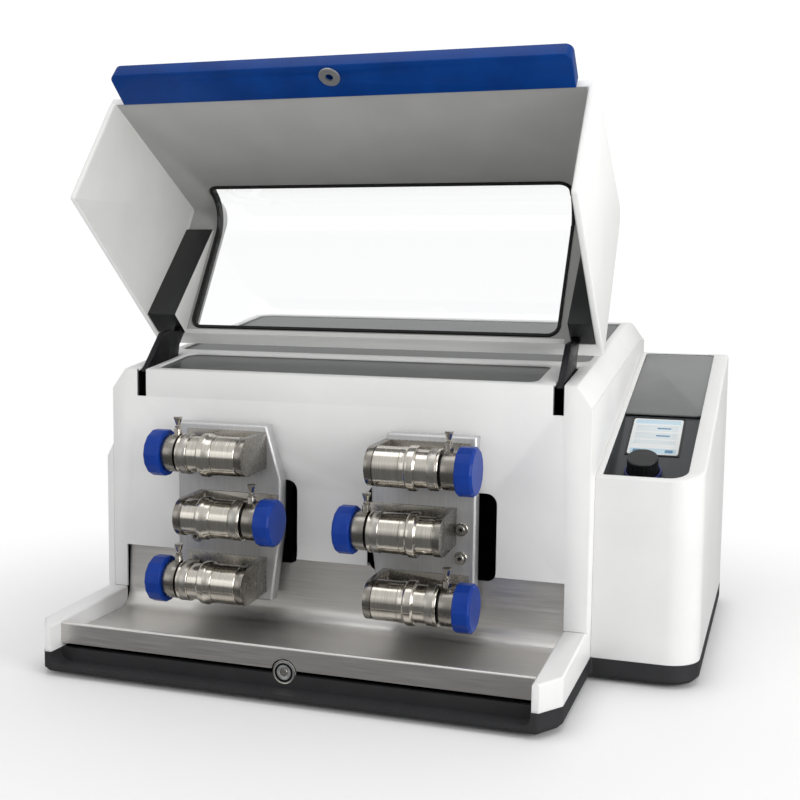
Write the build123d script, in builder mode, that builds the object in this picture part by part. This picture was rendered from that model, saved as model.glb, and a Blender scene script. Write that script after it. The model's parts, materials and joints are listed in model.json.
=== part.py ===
from build123d import *
import math
import os

os.makedirs("parts", exist_ok=True)

# Mixer mill: a bench mill that shakes six closed grinding jars from side to side.
# Millimetres, +Z up, +X to the right, +Y to the rear. The origin is on the bench, below the centre of
# the machine. The lid is modelled open, as it rests.

# Driving dimensions of the body
WIDTH = 690.0
DEPTH = 586.5
LEFT = -WIDTH / 2
FRONT = -DEPTH / 2 + 1.5
CHAMBER_W = 577.0
FOOT_H = 4.0
PAN_TOP = 26.0
WALL_Y = 157.0
SHEET = 3.0
WALL_TOP = 322.0
TOP_SLOPE = 0.146
FLAT_FROM = 520.0
CHAMFER_W = 17.0
CHAMFER_H = 23.5
RAIL_W = 25.2
REAR = 585.0

# The lid and its hinge
LID_X = 288.5
HINGE_BACK = 217.0
HINGE_Z = 309.0
LID_OPEN = 131.0
LID_HALF = 281.5
LID_SIDE = 7.5
WINDOW_HALF = 232.0
ARM_X = 294.0
ARM_IN = 243.5
ARM_OUT = 250.5
PIN_R = 5.0

# The rockers, the jars and the drive
MILL_X = 287.5
PIVOT_OFF = 116.0
PIVOT_BACK = 250.0
SHAFT_R = 12.0
PLATE_FRONT = 134.0
PLATE_REAR = 150.0
JAR_BACK = 88.0
JAR_R = 21.4
JAR_HEIGHTS = {"upper": 236.7, "middle": 167.0, "lower": 94.7}
OUTER_REACH = 69.5
MIDDLE_REACH = 80.5
JAR_SPAN = 116.0
LEFT_PLATE_OUT = 181.5
RIGHT_PLATE_OUT = 171.0
CRANK_BACK = 330.0
CRANK_THROW = 9.8

# Running gaps
RUN = 0.05
GAP = 0.3


def across(mm):
    # a distance to the right of the body's left side
    return LEFT + mm


def back(mm):
    # a distance behind the front of the side rails
    return FRONT + mm


def upright(mm):
    # a plane that faces the front, a distance behind the rails: extrude by minus to go to the rear
    return Plane(origin=(0, back(mm), 0), x_dir=(1, 0, 0), z_dir=(0, -1, 0))


def side_plane(mm):
    # a plane across the machine: sketch points are (Y, Z), extrusions go to the right
    return Plane.YZ.offset(across(mm))


def top_z(y):
    # height of the hood's outer skin at a distance behind the rails' front
    return WALL_TOP + TOP_SLOPE * (min(y, FLAT_FROM) - WALL_Y)


HINGE_Y = back(HINGE_BACK)
LID_COS = math.cos(math.radians(-LID_OPEN))
LID_SIN = math.sin(math.radians(-LID_OPEN))
TOP_DIR = (0, 1, TOP_SLOPE)
TO_FLAT = FLAT_FROM - WALL_Y


def export_node(part, label):
    part.label = label
    export_step(part, f"parts/{label}.step")


# Base pan: a moulded pan with a channel along its front, where a hand takes the handle bar.
pan_plan = [
    (18, -1.5),
    (559, -1.5),
    (577, 27),
    (577, 185),
    (690, 185),
    (690, 585),
    (0, 585),
    (0, 27),
]
pan_radii = [8, 8, 8, 4, 35, 14, 14, 8]
PAN_FLOOR = 9.0
PAN_WALL = 6.0
CHANNEL_Z = 12.0
CHANNEL_ENDS = (25.7, 551.3)
CORNER_R = 9.0
LIP_Y = 19.4
LOCK_X = 289.9
LOCK_Z = 28.1
LOCK_R = 12.5
TRAY_Z = 38.0
TRAY_T = 1.2

with BuildPart() as base_pan:
    with BuildSketch(Plane.XY.offset(FOOT_H)) as pan_face:
        with BuildLine():
            FilletPolyline(*[(across(x), back(y)) for x, y in pan_plan], radius=pan_radii, close=True)
        make_face()
    extrude(amount=PAN_TOP - FOOT_H)
    chamfer(base_pan.faces().sort_by(Axis.Z)[0].outer_wire().edges(), length=5)
    with BuildSketch(Plane.XY.offset(PAN_FLOOR)):
        add(offset(pan_face.sketch_local, amount=-PAN_WALL, mode=Mode.PRIVATE))
        with Locations((across(288.5), back(-1.5))):
            Rectangle(700, 2 * (LIP_Y + 1.5 + PAN_WALL), mode=Mode.SUBTRACT)
    extrude(amount=PAN_TOP, mode=Mode.SUBTRACT)
    with BuildSketch(upright(LIP_Y)):
        with BuildLine():
            FilletPolyline(
                (across(CHANNEL_ENDS[0]), 60),
                (across(CHANNEL_ENDS[0]), CHANNEL_Z),
                (across(CHANNEL_ENDS[1]), CHANNEL_Z),
                (across(CHANNEL_ENDS[1]), 60),
                radius=CORNER_R,
            )
            Line((across(CHANNEL_ENDS[1]), 60), (across(CHANNEL_ENDS[0]), 60))
        make_face()
    extrude(amount=60, mode=Mode.SUBTRACT)
    with Locations(Plane(origin=(across(LOCK_X), back(LIP_Y), LOCK_Z), z_dir=(0, 1, 0))):
        Cylinder(LOCK_R, 20, mode=Mode.SUBTRACT)
    with BuildSketch(Plane.XY.offset(PAN_FLOOR)):
        with GridLocations(440, 60, 2, 2):
            with Locations((across(288.5), back(80))):
                Circle(9)
    extrude(amount=TRAY_Z - TRAY_T - PAN_FLOOR)

feet_spots = [(45, 45), (532, 45), (45, 545), (645, 225), (645, 540)]
with BuildPart() as rubber_feet:
    with BuildSketch():
        with Locations(*[(across(x), back(y)) for x, y in feet_spots]):
            Circle(16)
    extrude(amount=FOOT_H)
    chamfer(rubber_feet.edges().group_by(Axis.Z)[0], length=1)

# Side covers: folded sheet with the low rails that run forward on both sides of the tray.
BULGE_Z = 217.0
BULGE_TOP = 232.0
BULGE = 8.0
RAIL_FRONT_Z = 54.0
RAIL_REAR_Z = 60.5


def rail(outer, inner, flat_end):
    # a hollow rail with a sloping top and a cut-off outer front corner
    with BuildPart() as block:
        with BuildSketch(Plane.XY.offset(PAN_TOP)):
            with BuildLine():
                Polyline(
                    (across(inner), back(0)),
                    (across(flat_end), back(0)),
                    (across(outer), back(27)),
                    (across(outer), back(WALL_Y)),
                    (across(inner), back(WALL_Y)),
                    close=True,
                )
            make_face()
        extrude(amount=60)
        with BuildSketch(side_plane(-5)):
            with BuildLine():
                Polyline(
                    (back(-5), PAN_TOP - 5),
                    (back(-5), RAIL_FRONT_Z),
                    (back(0), RAIL_FRONT_Z),
                    (back(WALL_Y), RAIL_REAR_Z),
                    (back(WALL_Y), PAN_TOP - 5),
                    close=True,
                )
            make_face()
        extrude(amount=WIDTH, mode=Mode.INTERSECT)
        top_edges = block.faces().sort_by(Axis.Z)[-1].edges().filter_by(Axis.X, reverse=True)
        fillet(top_edges.filter_by(lambda e: e.center().Y < back(WALL_Y) - 1), radius=2.5)
        offset(amount=-SHEET, openings=block.faces().sort_by(Axis.Z)[0])
    return block.part


left_section = [
    (0, PAN_TOP),
    (0, BULGE_Z),
    (BULGE, BULGE_TOP),
    (BULGE, 400),
    (BULGE + SHEET, 400),
    (BULGE + SHEET, BULGE_TOP - 1.2),
    (SHEET, BULGE_Z - 1.2),
    (SHEET, PAN_TOP),
]

cover_trim = [
    (155, PAN_TOP - 1),
    (155, top_z(155) - CHAMFER_H),
    (FLAT_FROM, top_z(FLAT_FROM) - CHAMFER_H),
    (REAR + 1, top_z(FLAT_FROM) - CHAMFER_H),
    (REAR + 1, PAN_TOP - 1),
]


def trim_to_hood():
    # cuts a side cover's top to the line where the hood's chamfer begins
    with BuildSketch(side_plane(-10)) as kept:
        with BuildLine():
            Polyline(*[(back(y), z) for y, z in cover_trim], close=True)
        make_face()
    extrude(kept.sketch, amount=WIDTH + 20, mode=Mode.INTERSECT)


left_rail = rail(0, RAIL_W, 18)
right_rail = rail(CHAMBER_W, CHAMBER_W - RAIL_W, CHAMBER_W - 18)

with BuildPart() as left_side_cover:
    with BuildSketch(upright(WALL_Y + SHEET)):
        with BuildLine():
            Polyline(*[(across(x), z) for x, z in left_section], close=True)
        make_face()
    extrude(amount=-(REAR - WALL_Y - SHEET))
    for start in (WALL_Y, REAR - SHEET):
        with BuildSketch(upright(start)):
            with BuildLine():
                Polyline(
                    (across(0), PAN_TOP),
                    (across(0), BULGE_Z),
                    (across(BULGE), BULGE_TOP),
                    (across(BULGE), PAN_TOP),
                    close=True,
                )
            make_face()
        extrude(amount=-SHEET)
    trim_to_hood()
    add(left_rail)

with BuildPart() as right_side_cover:
    with BuildSketch(upright(WALL_Y + SHEET)):
        with BuildLine():
            Polyline(
                (across(CHAMBER_W - SHEET), PAN_TOP),
                (across(CHAMBER_W), PAN_TOP),
                (across(CHAMBER_W), 400),
                (across(CHAMBER_W - SHEET), 400),
                close=True,
            )
        make_face()
    extrude(amount=-(REAR - WALL_Y - SHEET))
    trim_to_hood()
    with BuildSketch(upright(WALL_Y)):
        with Locations((across(CHAMBER_W - SHEET / 2), (PAN_TOP + RAIL_REAR_Z) / 2)):
            Rectangle(SHEET, RAIL_REAR_Z - PAN_TOP)
    extrude(amount=-SHEET)
    add(right_rail)

# Front wall: the white wall behind the jars, with legs that stand on the rails.
TRAY_OPEN_Z = 111.5
SLOT_IN = 242.0
SLOT_OUT = 252.0
SLOT_Z = 290.5
SLOT_END = 250.0
ROCKER_SLOT_LOW = 105.0
ROCKER_SLOT_HIGH = 202.5
ROCKER_SLOT_HALF = 73.5

wall_outline = [
    (BULGE, RAIL_REAR_Z),
    (RAIL_W, RAIL_REAR_Z),
    (RAIL_W, TRAY_OPEN_Z),
    (CHAMBER_W - RAIL_W, TRAY_OPEN_Z),
    (CHAMBER_W - RAIL_W, RAIL_REAR_Z),
    (CHAMBER_W, RAIL_REAR_Z),
    (CHAMBER_W, WALL_TOP - CHAMFER_H),
    (CHAMBER_W - CHAMFER_W, WALL_TOP),
    (BULGE + CHAMFER_W, WALL_TOP),
    (BULGE, WALL_TOP - CHAMFER_H),
]
slot_mid = (ROCKER_SLOT_LOW + ROCKER_SLOT_HIGH) / 2
with BuildSketch(upright(WALL_Y)) as rocker_slots:
    with Locations((across(MILL_X - PIVOT_OFF), slot_mid), (across(MILL_X + PIVOT_OFF), slot_mid)):
        RectangleRounded(2 * ROCKER_SLOT_HALF, ROCKER_SLOT_HIGH - ROCKER_SLOT_LOW, 12)

with BuildPart() as front_wall:
    with BuildSketch(upright(WALL_Y)):
        with BuildLine():
            Polyline(*[(across(x), z) for x, z in wall_outline], close=True)
        make_face()
        add(rocker_slots.sketch_local, mode=Mode.SUBTRACT)
        slot_centre = (SLOT_IN + SLOT_OUT) / 2
        with Locations((across(ARM_X - slot_centre), SLOT_Z + 30), (across(ARM_X + slot_centre), SLOT_Z + 30)):
            Rectangle(SLOT_OUT - SLOT_IN, 60, mode=Mode.SUBTRACT)
    extrude(amount=-SHEET)

# Hood: one folded sheet with chamfered sides, rising to the rear, with two sunken dark plates.
front_plate_box = (60, 515, 168, 256)
top_panel_box = (33, 552, 276, 550)
PLATE_LIP = 4.0
REAR_ROUND = 8.0


def hood_solid(inset):
    # the hood's volume from its front to its rear, drawn in from the outside by inset
    low = WALL_TOP - CHAMFER_H - inset
    high = WALL_TOP - inset
    section = [
        (BULGE + inset, low - 60),
        (BULGE + inset, low),
        (BULGE + CHAMFER_W + inset * 0.5, high),
        (CHAMBER_W - CHAMFER_W - inset * 0.5, high),
        (CHAMBER_W - inset, low),
        (CHAMBER_W - inset, low - 60),
    ]
    with BuildPart() as volume:
        with BuildSketch(upright(WALL_Y)):
            with BuildLine():
                Polyline(*[(across(x), z) for x, z in section], close=True)
            make_face()
        extrude(amount=TO_FLAT * math.hypot(1, TOP_SLOPE), dir=TOP_DIR)
        rear_section = Plane(origin=(0, back(FLAT_FROM), TO_FLAT * TOP_SLOPE), x_dir=(1, 0, 0), z_dir=(0, -1, 0))
        with BuildSketch(rear_section):
            with BuildLine():
                Polyline(*[(across(x), z) for x, z in section], close=True)
            make_face()
        extrude(amount=-(REAR - FLAT_FROM - inset))
        top_rear = volume.edges().filter_by(Axis.X).group_by(Axis.Y)[-1].sort_by(Axis.Z)[-1]
        fillet(top_rear, radius=REAR_ROUND - inset)
    return volume.part


hood_outer = hood_solid(0)
hood_inner = hood_solid(SHEET)
with BuildPart() as rear_hood:
    add(hood_outer)
    add(hood_inner, mode=Mode.SUBTRACT)
    # the hood ends below at the line where its chamfers begin
    with BuildSketch(side_plane(-10)):
        with BuildLine():
            Polyline(
                (back(WALL_Y + SHEET), top_z(WALL_Y + SHEET) - CHAMFER_H),
                (back(WALL_Y + SHEET), 420),
                (back(REAR + 1), 420),
                (back(REAR + 1), top_z(FLAT_FROM) - CHAMFER_H),
                (back(FLAT_FROM), top_z(FLAT_FROM) - CHAMFER_H),
                close=True,
            )
        make_face()
    extrude(amount=WIDTH + 20, mode=Mode.INTERSECT)
    with BuildSketch(Plane.XY.offset(WALL_TOP - 20)):
        for x_low, x_high, y_low, y_high in (front_plate_box, top_panel_box):
            with Locations((across((x_low + x_high) / 2), back((y_low + y_high) / 2))):
                RectangleRounded(x_high - x_low, y_high - y_low, 12)
    extrude(amount=100, mode=Mode.SUBTRACT)
    with BuildSketch(Plane.XY.offset(WALL_TOP - 40)):
        for side in (-1, 1):
            with Locations((across(ARM_X + side * slot_centre), back((WALL_Y + SLOT_END) / 2))):
                Rectangle(SLOT_OUT - SLOT_IN, SLOT_END - WALL_Y)
    extrude(amount=100, mode=Mode.SUBTRACT)


def sunken_plate(x_low, x_high, y_low, y_high):
    # a plate that lies against the underside of the hood's skin
    drop = SHEET
    y_points = [y_low - PLATE_LIP]
    if y_high > FLAT_FROM:
        y_points.append(FLAT_FROM)
    y_points.append(y_high + PLATE_LIP)
    upper = [(back(y), top_z(y) - drop) for y in y_points]
    lower = [(back(y), top_z(y) - drop - 2) for y in reversed(y_points)]
    with BuildPart() as plate:
        with BuildSketch(side_plane(x_low - PLATE_LIP)):
            with BuildLine():
                Polyline(*upper, *lower, close=True)
            make_face()
        extrude(amount=x_high - x_low + 2 * PLATE_LIP)
    return plate.part


front_top_plate = sunken_plate(*front_plate_box)
top_panel = sunken_plate(*top_panel_box)

# Rear panel, with the fan's opening and the mains cut-out
REAR_Y = 577.0
FAN_X = 190.0
FAN_Z = 170.0
FAN_R = 37.0
INLET_X = 470.0
INLET_Z = 90.0
with BuildPart() as rear_panel:
    with BuildSketch(upright(REAR_Y)):
        with Locations((across((11 + 574) / 2), (PAN_TOP + 347) / 2)):
            Rectangle(574 - 11, 347 - PAN_TOP)
        with Locations((across(FAN_X), FAN_Z)):
            Circle(FAN_R, mode=Mode.SUBTRACT)
        with Locations((across(INLET_X), INLET_Z)):
            Rectangle(50, 62, mode=Mode.SUBTRACT)
        with Locations((across(380), 255)):
            with GridLocations(14, 1, 18, 1):
                SlotOverall(50, 5, rotation=90, mode=Mode.SUBTRACT)
    extrude(amount=-SHEET)
    with BuildSketch(upright(REAR_Y)):
        with Locations((across(FAN_X), FAN_Z)):
            for ring in (10, 19, 28):
                Circle(ring + 1.2)
                Circle(ring - 1.2, mode=Mode.SUBTRACT)
            Rectangle(2 * FAN_R + 1, 3)
            Rectangle(3, 2 * FAN_R + 1)
    extrude(amount=-SHEET)

# Mains inlet: a flanged three-pin socket with the switch opening above it, and the switch's pivot pin
SWITCH_Z = INLET_Z + 18
SWITCH_PIN_R = 1.5
with BuildPart() as mains_inlet:
    with BuildSketch(upright(REAR_Y + SHEET)):
        with Locations((across(INLET_X), INLET_Z)):
            RectangleRounded(58, 70, 4)
    extrude(amount=-SHEET)
    with BuildSketch(upright(REAR_Y + SHEET)):
        with Locations((across(INLET_X), INLET_Z)):
            Rectangle(49, 61)
    extrude(amount=26)
    with BuildSketch(upright(REAR_Y + 2 * SHEET)):
        with Locations((across(INLET_X), INLET_Z - 13)):
            RectangleRounded(28, 20, 3)
        with Locations((across(INLET_X), SWITCH_Z)):
            Rectangle(23, 15)
    extrude(amount=20, mode=Mode.SUBTRACT)
    with BuildSketch(upright(REAR_Y - 14)):
        with Locations(
            (across(INLET_X - 7), INLET_Z - 15),
            (across(INLET_X), INLET_Z - 10),
            (across(INLET_X + 7), INLET_Z - 15),
        ):
            Rectangle(2, 4)
    extrude(amount=-16)
    with BuildSketch(side_plane(INLET_X - 11.5)):
        with Locations((back(REAR_Y), SWITCH_Z)):
            Circle(SWITCH_PIN_R)
    extrude(amount=23)

with BuildPart() as power_switch:
    with BuildSketch(side_plane(INLET_X - 11.1)):
        with BuildLine():
            Polyline(
                (back(REAR_Y + 4.4), SWITCH_Z - 6.8),
                (back(REAR_Y + 6.6), SWITCH_Z),
                (back(REAR_Y + 4.4), SWITCH_Z + 6.8),
                (back(REAR_Y - 4), SWITCH_Z + 4.5),
                (back(REAR_Y - 4), SWITCH_Z - 4.5),
                close=True,
            )
        make_face()
        with Locations((back(REAR_Y), SWITCH_Z)):
            Circle(SWITCH_PIN_R + RUN, mode=Mode.SUBTRACT)
    extrude(amount=22.2)

# Fan behind the rear panel: a square frame with a hub plate on three arms, and its rotor
FAN_DEEP = 25.0
with BuildPart() as fan_frame:
    with BuildSketch(upright(REAR_Y - FAN_DEEP)):
        with Locations((across(FAN_X), FAN_Z)):
            RectangleRounded(80, 80, 4)
            Circle(FAN_R, mode=Mode.SUBTRACT)
    extrude(amount=-FAN_DEEP)
    with BuildSketch(upright(REAR_Y - FAN_DEEP)):
        with Locations((across(FAN_X), FAN_Z)):
            Circle(16)
            with PolarLocations(FAN_R - 12, 3):
                Rectangle(26, 4)
    extrude(amount=-4)

with BuildPart() as fan_rotor:
    with BuildSketch(upright(REAR_Y - FAN_DEEP + 5)):
        with Locations((across(FAN_X), FAN_Z)):
            Circle(15)
    extrude(amount=-18)
    fan_middle = (across(FAN_X), back(REAR_Y - FAN_DEEP + 14), FAN_Z)
    with Locations(Plane(origin=fan_middle, x_dir=(1, 0, 0), z_dir=(0, -1, 0))):
        with PolarLocations(23, 7):
            with Locations(Rotation(28, 0, 0)):
                Box(22, 1.6, 14)

# Control housing: a tall white shell on the right, its rim sloping up to the rear
BOX_FRONT = 185.0
RIM_FRONT = 224.0
RIM_SLOPE = 0.3
RIM_FLAT = 555.0
BOX_WALL = 4.0
RIM_T = 2.0
OPEN_LEFT = 584.0
OPEN_RIGHT = 672.0
OPEN_FRONT = 188.0
OPEN_REAR = 575.0
PANEL_REAR = 362.0


def rim_z(y):
    # height of the control housing's rim
    return RIM_FRONT + RIM_SLOPE * (min(y, RIM_FLAT) - BOX_FRONT)


def panel_z(y):
    # height of the sunken control panel
    return 272 + 0.47 * (y - 364)


def under_rim(drop):
    # keeps what lies below the sloping rim, lowered by drop
    with BuildSketch(side_plane(CHAMBER_W - 10)) as kept:
        with BuildLine():
            Polyline(
                (back(BOX_FRONT - 10), PAN_TOP - 1),
                (back(BOX_FRONT - 10), rim_z(BOX_FRONT - 10) - drop),
                (back(RIM_FLAT), rim_z(RIM_FLAT) - drop),
                (back(REAR + 10), rim_z(RIM_FLAT) - drop),
                (back(REAR + 10), PAN_TOP - 1),
                close=True,
            )
        make_face()
    extrude(kept.sketch, amount=WIDTH, mode=Mode.INTERSECT)


def box_block(inset, drop):
    # the housing's volume, drawn in by inset and lowered by drop
    low_x = CHAMBER_W + inset
    high_x = WIDTH - inset
    low_y = BOX_FRONT + inset
    high_y = REAR - inset
    with BuildPart() as block:
        with BuildSketch(Plane.XY.offset(PAN_TOP)):
            with BuildLine():
                FilletPolyline(
                    (across(low_x), back(low_y)),
                    (across(high_x), back(low_y)),
                    (across(high_x), back(high_y)),
                    (across(low_x), back(high_y)),
                    radius=[0, 35 - inset, 14 - inset, 0],
                    close=True,
                )
            make_face()
        extrude(amount=320)
        under_rim(drop)
    return block.part


def is_rim_edge(edge):
    # the rim's outer edges, without the one along the chamber and the bend near the rear
    middle = edge.center()
    return middle.X > across(CHAMBER_W + 1) and abs(middle.Y - back(RIM_FLAT)) > 2


box_outer = box_block(0, 0)
box_hollow = box_block(BOX_WALL, RIM_T)
with BuildPart() as control_housing:
    add(box_outer)
    rim_faces = control_housing.faces().filter_by(lambda f: f.normal_at().Z > 0.5)
    fillet(rim_faces.edges().filter_by(is_rim_edge), radius=3)
    add(box_hollow, mode=Mode.SUBTRACT)
    with BuildSketch(Plane.XY.offset(150)):
        with BuildLine():
            FilletPolyline(
                (across(OPEN_LEFT), back(OPEN_FRONT + 4)),
                (across(OPEN_RIGHT), back(OPEN_FRONT + 4)),
                (across(OPEN_RIGHT), back(OPEN_REAR)),
                (across(OPEN_LEFT), back(OPEN_REAR)),
                radius=[2, 20, 14, 2],
                close=True,
            )
        make_face()
    extrude(amount=250, mode=Mode.SUBTRACT)

COVER_OVER = 5.0
with BuildPart() as control_cover:
    with BuildSketch(Plane.XY.offset(150)):
        with BuildLine():
            FilletPolyline(
                (across(CHAMBER_W + BOX_WALL), back(PANEL_REAR)),
                (across(OPEN_RIGHT + COVER_OVER), back(PANEL_REAR)),
                (across(OPEN_RIGHT + COVER_OVER), back(OPEN_REAR + COVER_OVER)),
                (across(CHAMBER_W + BOX_WALL), back(OPEN_REAR + COVER_OVER)),
                radius=[0, 10, 0, 0],
                close=True,
            )
        make_face()
    extrude(amount=250)
    under_rim(RIM_T)
    with BuildSketch(side_plane(CHAMBER_W - 10)):
        with BuildLine():
            Polyline(
                (back(BOX_FRONT), rim_z(BOX_FRONT) - RIM_T - 2.5),
                (back(RIM_FLAT), rim_z(RIM_FLAT) - RIM_T - 2.5),
                (back(REAR + 10), rim_z(RIM_FLAT) - RIM_T - 2.5),
                (back(REAR + 10), 100),
                (back(BOX_FRONT), 100),
                close=True,
            )
        make_face()
    extrude(amount=WIDTH, mode=Mode.SUBTRACT)

PANEL_T = 3.0
PANEL_ANGLE = math.degrees(math.atan(0.47))
KNOB_X = 620.0
KNOB_Y = 247.0


def panel_plane(x, y):
    # a plane on the control panel, facing out of it, with x to the right
    tilt = math.radians(PANEL_ANGLE)
    return Plane(
        origin=(across(x), back(y), panel_z(y)),
        x_dir=(1, 0, 0),
        z_dir=(0, -math.sin(tilt), math.cos(tilt)),
    )


with BuildPart() as panel_pit:
    with BuildSketch(Plane.XY.offset(150)):
        with BuildLine():
            FilletPolyline(
                (across(OPEN_LEFT), back(OPEN_FRONT + 4)),
                (across(OPEN_RIGHT), back(OPEN_FRONT + 4)),
                (across(OPEN_RIGHT), back(PANEL_REAR + 5)),
                (across(OPEN_LEFT), back(PANEL_REAR + 5)),
                radius=[2, 20, 0, 0],
                close=True,
            )
        make_face()
    extrude(amount=200)
    with BuildSketch(side_plane(CHAMBER_W - 10)):
        with BuildLine():
            Polyline(
                (back(BOX_FRONT - 5), panel_z(BOX_FRONT - 5)),
                (back(PANEL_REAR + 5), panel_z(PANEL_REAR + 5)),
                (back(PANEL_REAR + 5), 100),
                (back(BOX_FRONT - 5), 100),
                close=True,
            )
        make_face()
    extrude(amount=WIDTH, mode=Mode.SUBTRACT)

with BuildPart() as control_panel:
    with BuildSketch(Plane.XY.offset(150)):
        with BuildLine():
            FilletPolyline(
                (across(OPEN_LEFT - 2), back(OPEN_FRONT + 1.5)),
                (across(OPEN_RIGHT + 2), back(OPEN_FRONT + 1.5)),
                (across(OPEN_RIGHT + 2), back(PANEL_REAR)),
                (across(OPEN_LEFT - 2), back(PANEL_REAR)),
                radius=[2, 21, 0, 0],
                close=True,
            )
        make_face()
    extrude(amount=200)
    under_rim(RIM_T)
    with BuildSketch(side_plane(CHAMBER_W - 10)):
        with BuildLine():
            Polyline(
                (back(BOX_FRONT - 5), panel_z(BOX_FRONT - 5) - PANEL_T),
                (back(PANEL_REAR + 5), panel_z(PANEL_REAR + 5) - PANEL_T),
                (back(PANEL_REAR + 5), 100),
                (back(BOX_FRONT - 5), 100),
                close=True,
            )
        make_face()
    extrude(amount=WIDTH, mode=Mode.SUBTRACT)
    add(panel_pit.part, mode=Mode.SUBTRACT)
    # bore for the knob's shaft
    with Locations(panel_plane(KNOB_X, KNOB_Y)):
        Cylinder(4.1, 20, mode=Mode.SUBTRACT)

with BuildPart() as display:
    with BuildSketch(panel_plane(624.5, 321.5)):
        RectangleRounded(57, 76, 3)
    extrude(amount=1)

RING_R = 20.5
RING_H = 9.0
CAP_R = 17.0
CAP_H = 24.0
with BuildPart() as knob_ring:
    with BuildSketch(panel_plane(KNOB_X, KNOB_Y)):
        Circle(RING_R)
        Circle(CAP_R + 1, mode=Mode.SUBTRACT)
    extrude(amount=RING_H)
    fillet(knob_ring.edges().filter_by(GeomType.CIRCLE).sort_by(Axis.Z)[-2:], radius=0.8)

knob_frame = panel_plane(KNOB_X, KNOB_Y)
with BuildPart() as knob_shaft:
    with BuildSketch(knob_frame.offset(-9)):
        Circle(4)
    extrude(amount=20)
    with BuildSketch(knob_frame.offset(-9)):
        Circle(7)
    extrude(amount=4)

with BuildPart() as knob_cap:
    with BuildSketch(knob_frame.offset(2)):
        Circle(CAP_R)
    extrude(amount=CAP_H)
    fillet(knob_cap.faces().sort_by(Axis.Z)[-1].edges(), radius=2)
    with BuildSketch(knob_frame.offset(2)):
        Circle(4 + RUN)
    extrude(amount=9.1, mode=Mode.SUBTRACT)
    with BuildSketch(knob_frame.offset(12)):
        with PolarLocations(CAP_R + 0.6, 24):
            Circle(0.9)
    extrude(amount=CAP_H - 12, mode=Mode.SUBTRACT)

with BuildPart() as control_board:
    with BuildSketch(Plane.XY.offset(40)):
        with Locations((across(632), back(460))):
            Rectangle(80, 150)
    extrude(amount=1.6)
    with BuildSketch(Plane.XY.offset(41.6)):
        with Locations((across(620), back(430)), (across(645), back(490))):
            Rectangle(30, 24)
    extrude(amount=12)
    with BuildSketch(Plane.XY.offset(PAN_FLOOR)):
        with Locations((across(632), back(460))):
            with GridLocations(70, 140, 2, 2):
                Circle(4)
    extrude(amount=40 - PAN_FLOOR)

# Tray: one bent stainless sheet with a folded front lip and a rear upstand behind the wall
with BuildPart() as chamber_tray:
    with BuildSketch(side_plane(25.5)):
        with BuildLine():
            lip = FilletPolyline(
                (back(160), TRAY_Z),
                (back(25.2), TRAY_Z),
                (back(25.2), RAIL_FRONT_Z),
                (back(LIP_Y), RAIL_FRONT_Z),
                (back(LIP_Y), 31),
                radius=[1.5, 2.2, 2.2],
            )
            Line(lip @ 1, (back(LIP_Y + TRAY_T), 31))
            inner = FilletPolyline(
                (back(LIP_Y + TRAY_T), 31),
                (back(LIP_Y + TRAY_T), RAIL_FRONT_Z - TRAY_T),
                (back(25.2 - TRAY_T), RAIL_FRONT_Z - TRAY_T),
                (back(25.2 - TRAY_T), TRAY_Z - TRAY_T),
                (back(160), TRAY_Z - TRAY_T),
                radius=[1, 1, 2.7],
            )
            Line(inner @ 1, lip @ 0)
        make_face()
    extrude(amount=551.5 - 25.5)
    split(bisect_by=Plane.XZ.offset(-back(120)), keep=Keep.TOP)
    with BuildSketch(side_plane(25.5)):
        with BuildLine():
            FilletPolyline(
                (back(120), TRAY_Z - TRAY_T / 2),
                (back(161), TRAY_Z - TRAY_T / 2),
                (back(165), 114),
                radius=22,
            )
        trace(line_width=TRAY_T)
    extrude(amount=551.5 - 25.5)
    with Locations(Plane(origin=(across(LOCK_X), back(LIP_Y), LOCK_Z), z_dir=(0, 1, 0))):
        Cylinder(LOCK_R + 1.7, 8, mode=Mode.SUBTRACT)
    # the upstand is notched below the wall's rocker openings
    extrude(rocker_slots.sketch, amount=-20, mode=Mode.SUBTRACT)

PLUNGER_R = 4.0
with BuildPart() as latch_housing:
    with BuildSketch(upright(LIP_Y)):
        with Locations((across(LOCK_X), LOCK_Z)):
            Circle(LOCK_R)
    extrude(amount=-4)
    chamfer(latch_housing.faces().sort_by(Axis.Y)[0].edges(), length=1)
    with BuildSketch(upright(LIP_Y + 4)):
        with Locations((across(LOCK_X), LOCK_Z)):
            RegularPolygon(8.3, 6)
    extrude(amount=-PAN_WALL - 4)
    with BuildSketch(upright(LIP_Y)):
        with Locations((across(LOCK_X), LOCK_Z)):
            Circle(PLUNGER_R + GAP)
    extrude(amount=-12, mode=Mode.SUBTRACT)

with BuildPart() as latch_plunger:
    with BuildSketch(upright(LIP_Y)):
        with Locations((across(LOCK_X), LOCK_Z)):
            Circle(PLUNGER_R)
    extrude(amount=-11)
    chamfer(latch_plunger.faces().sort_by(Axis.Y)[0].edges(), length=0.6)

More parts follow.
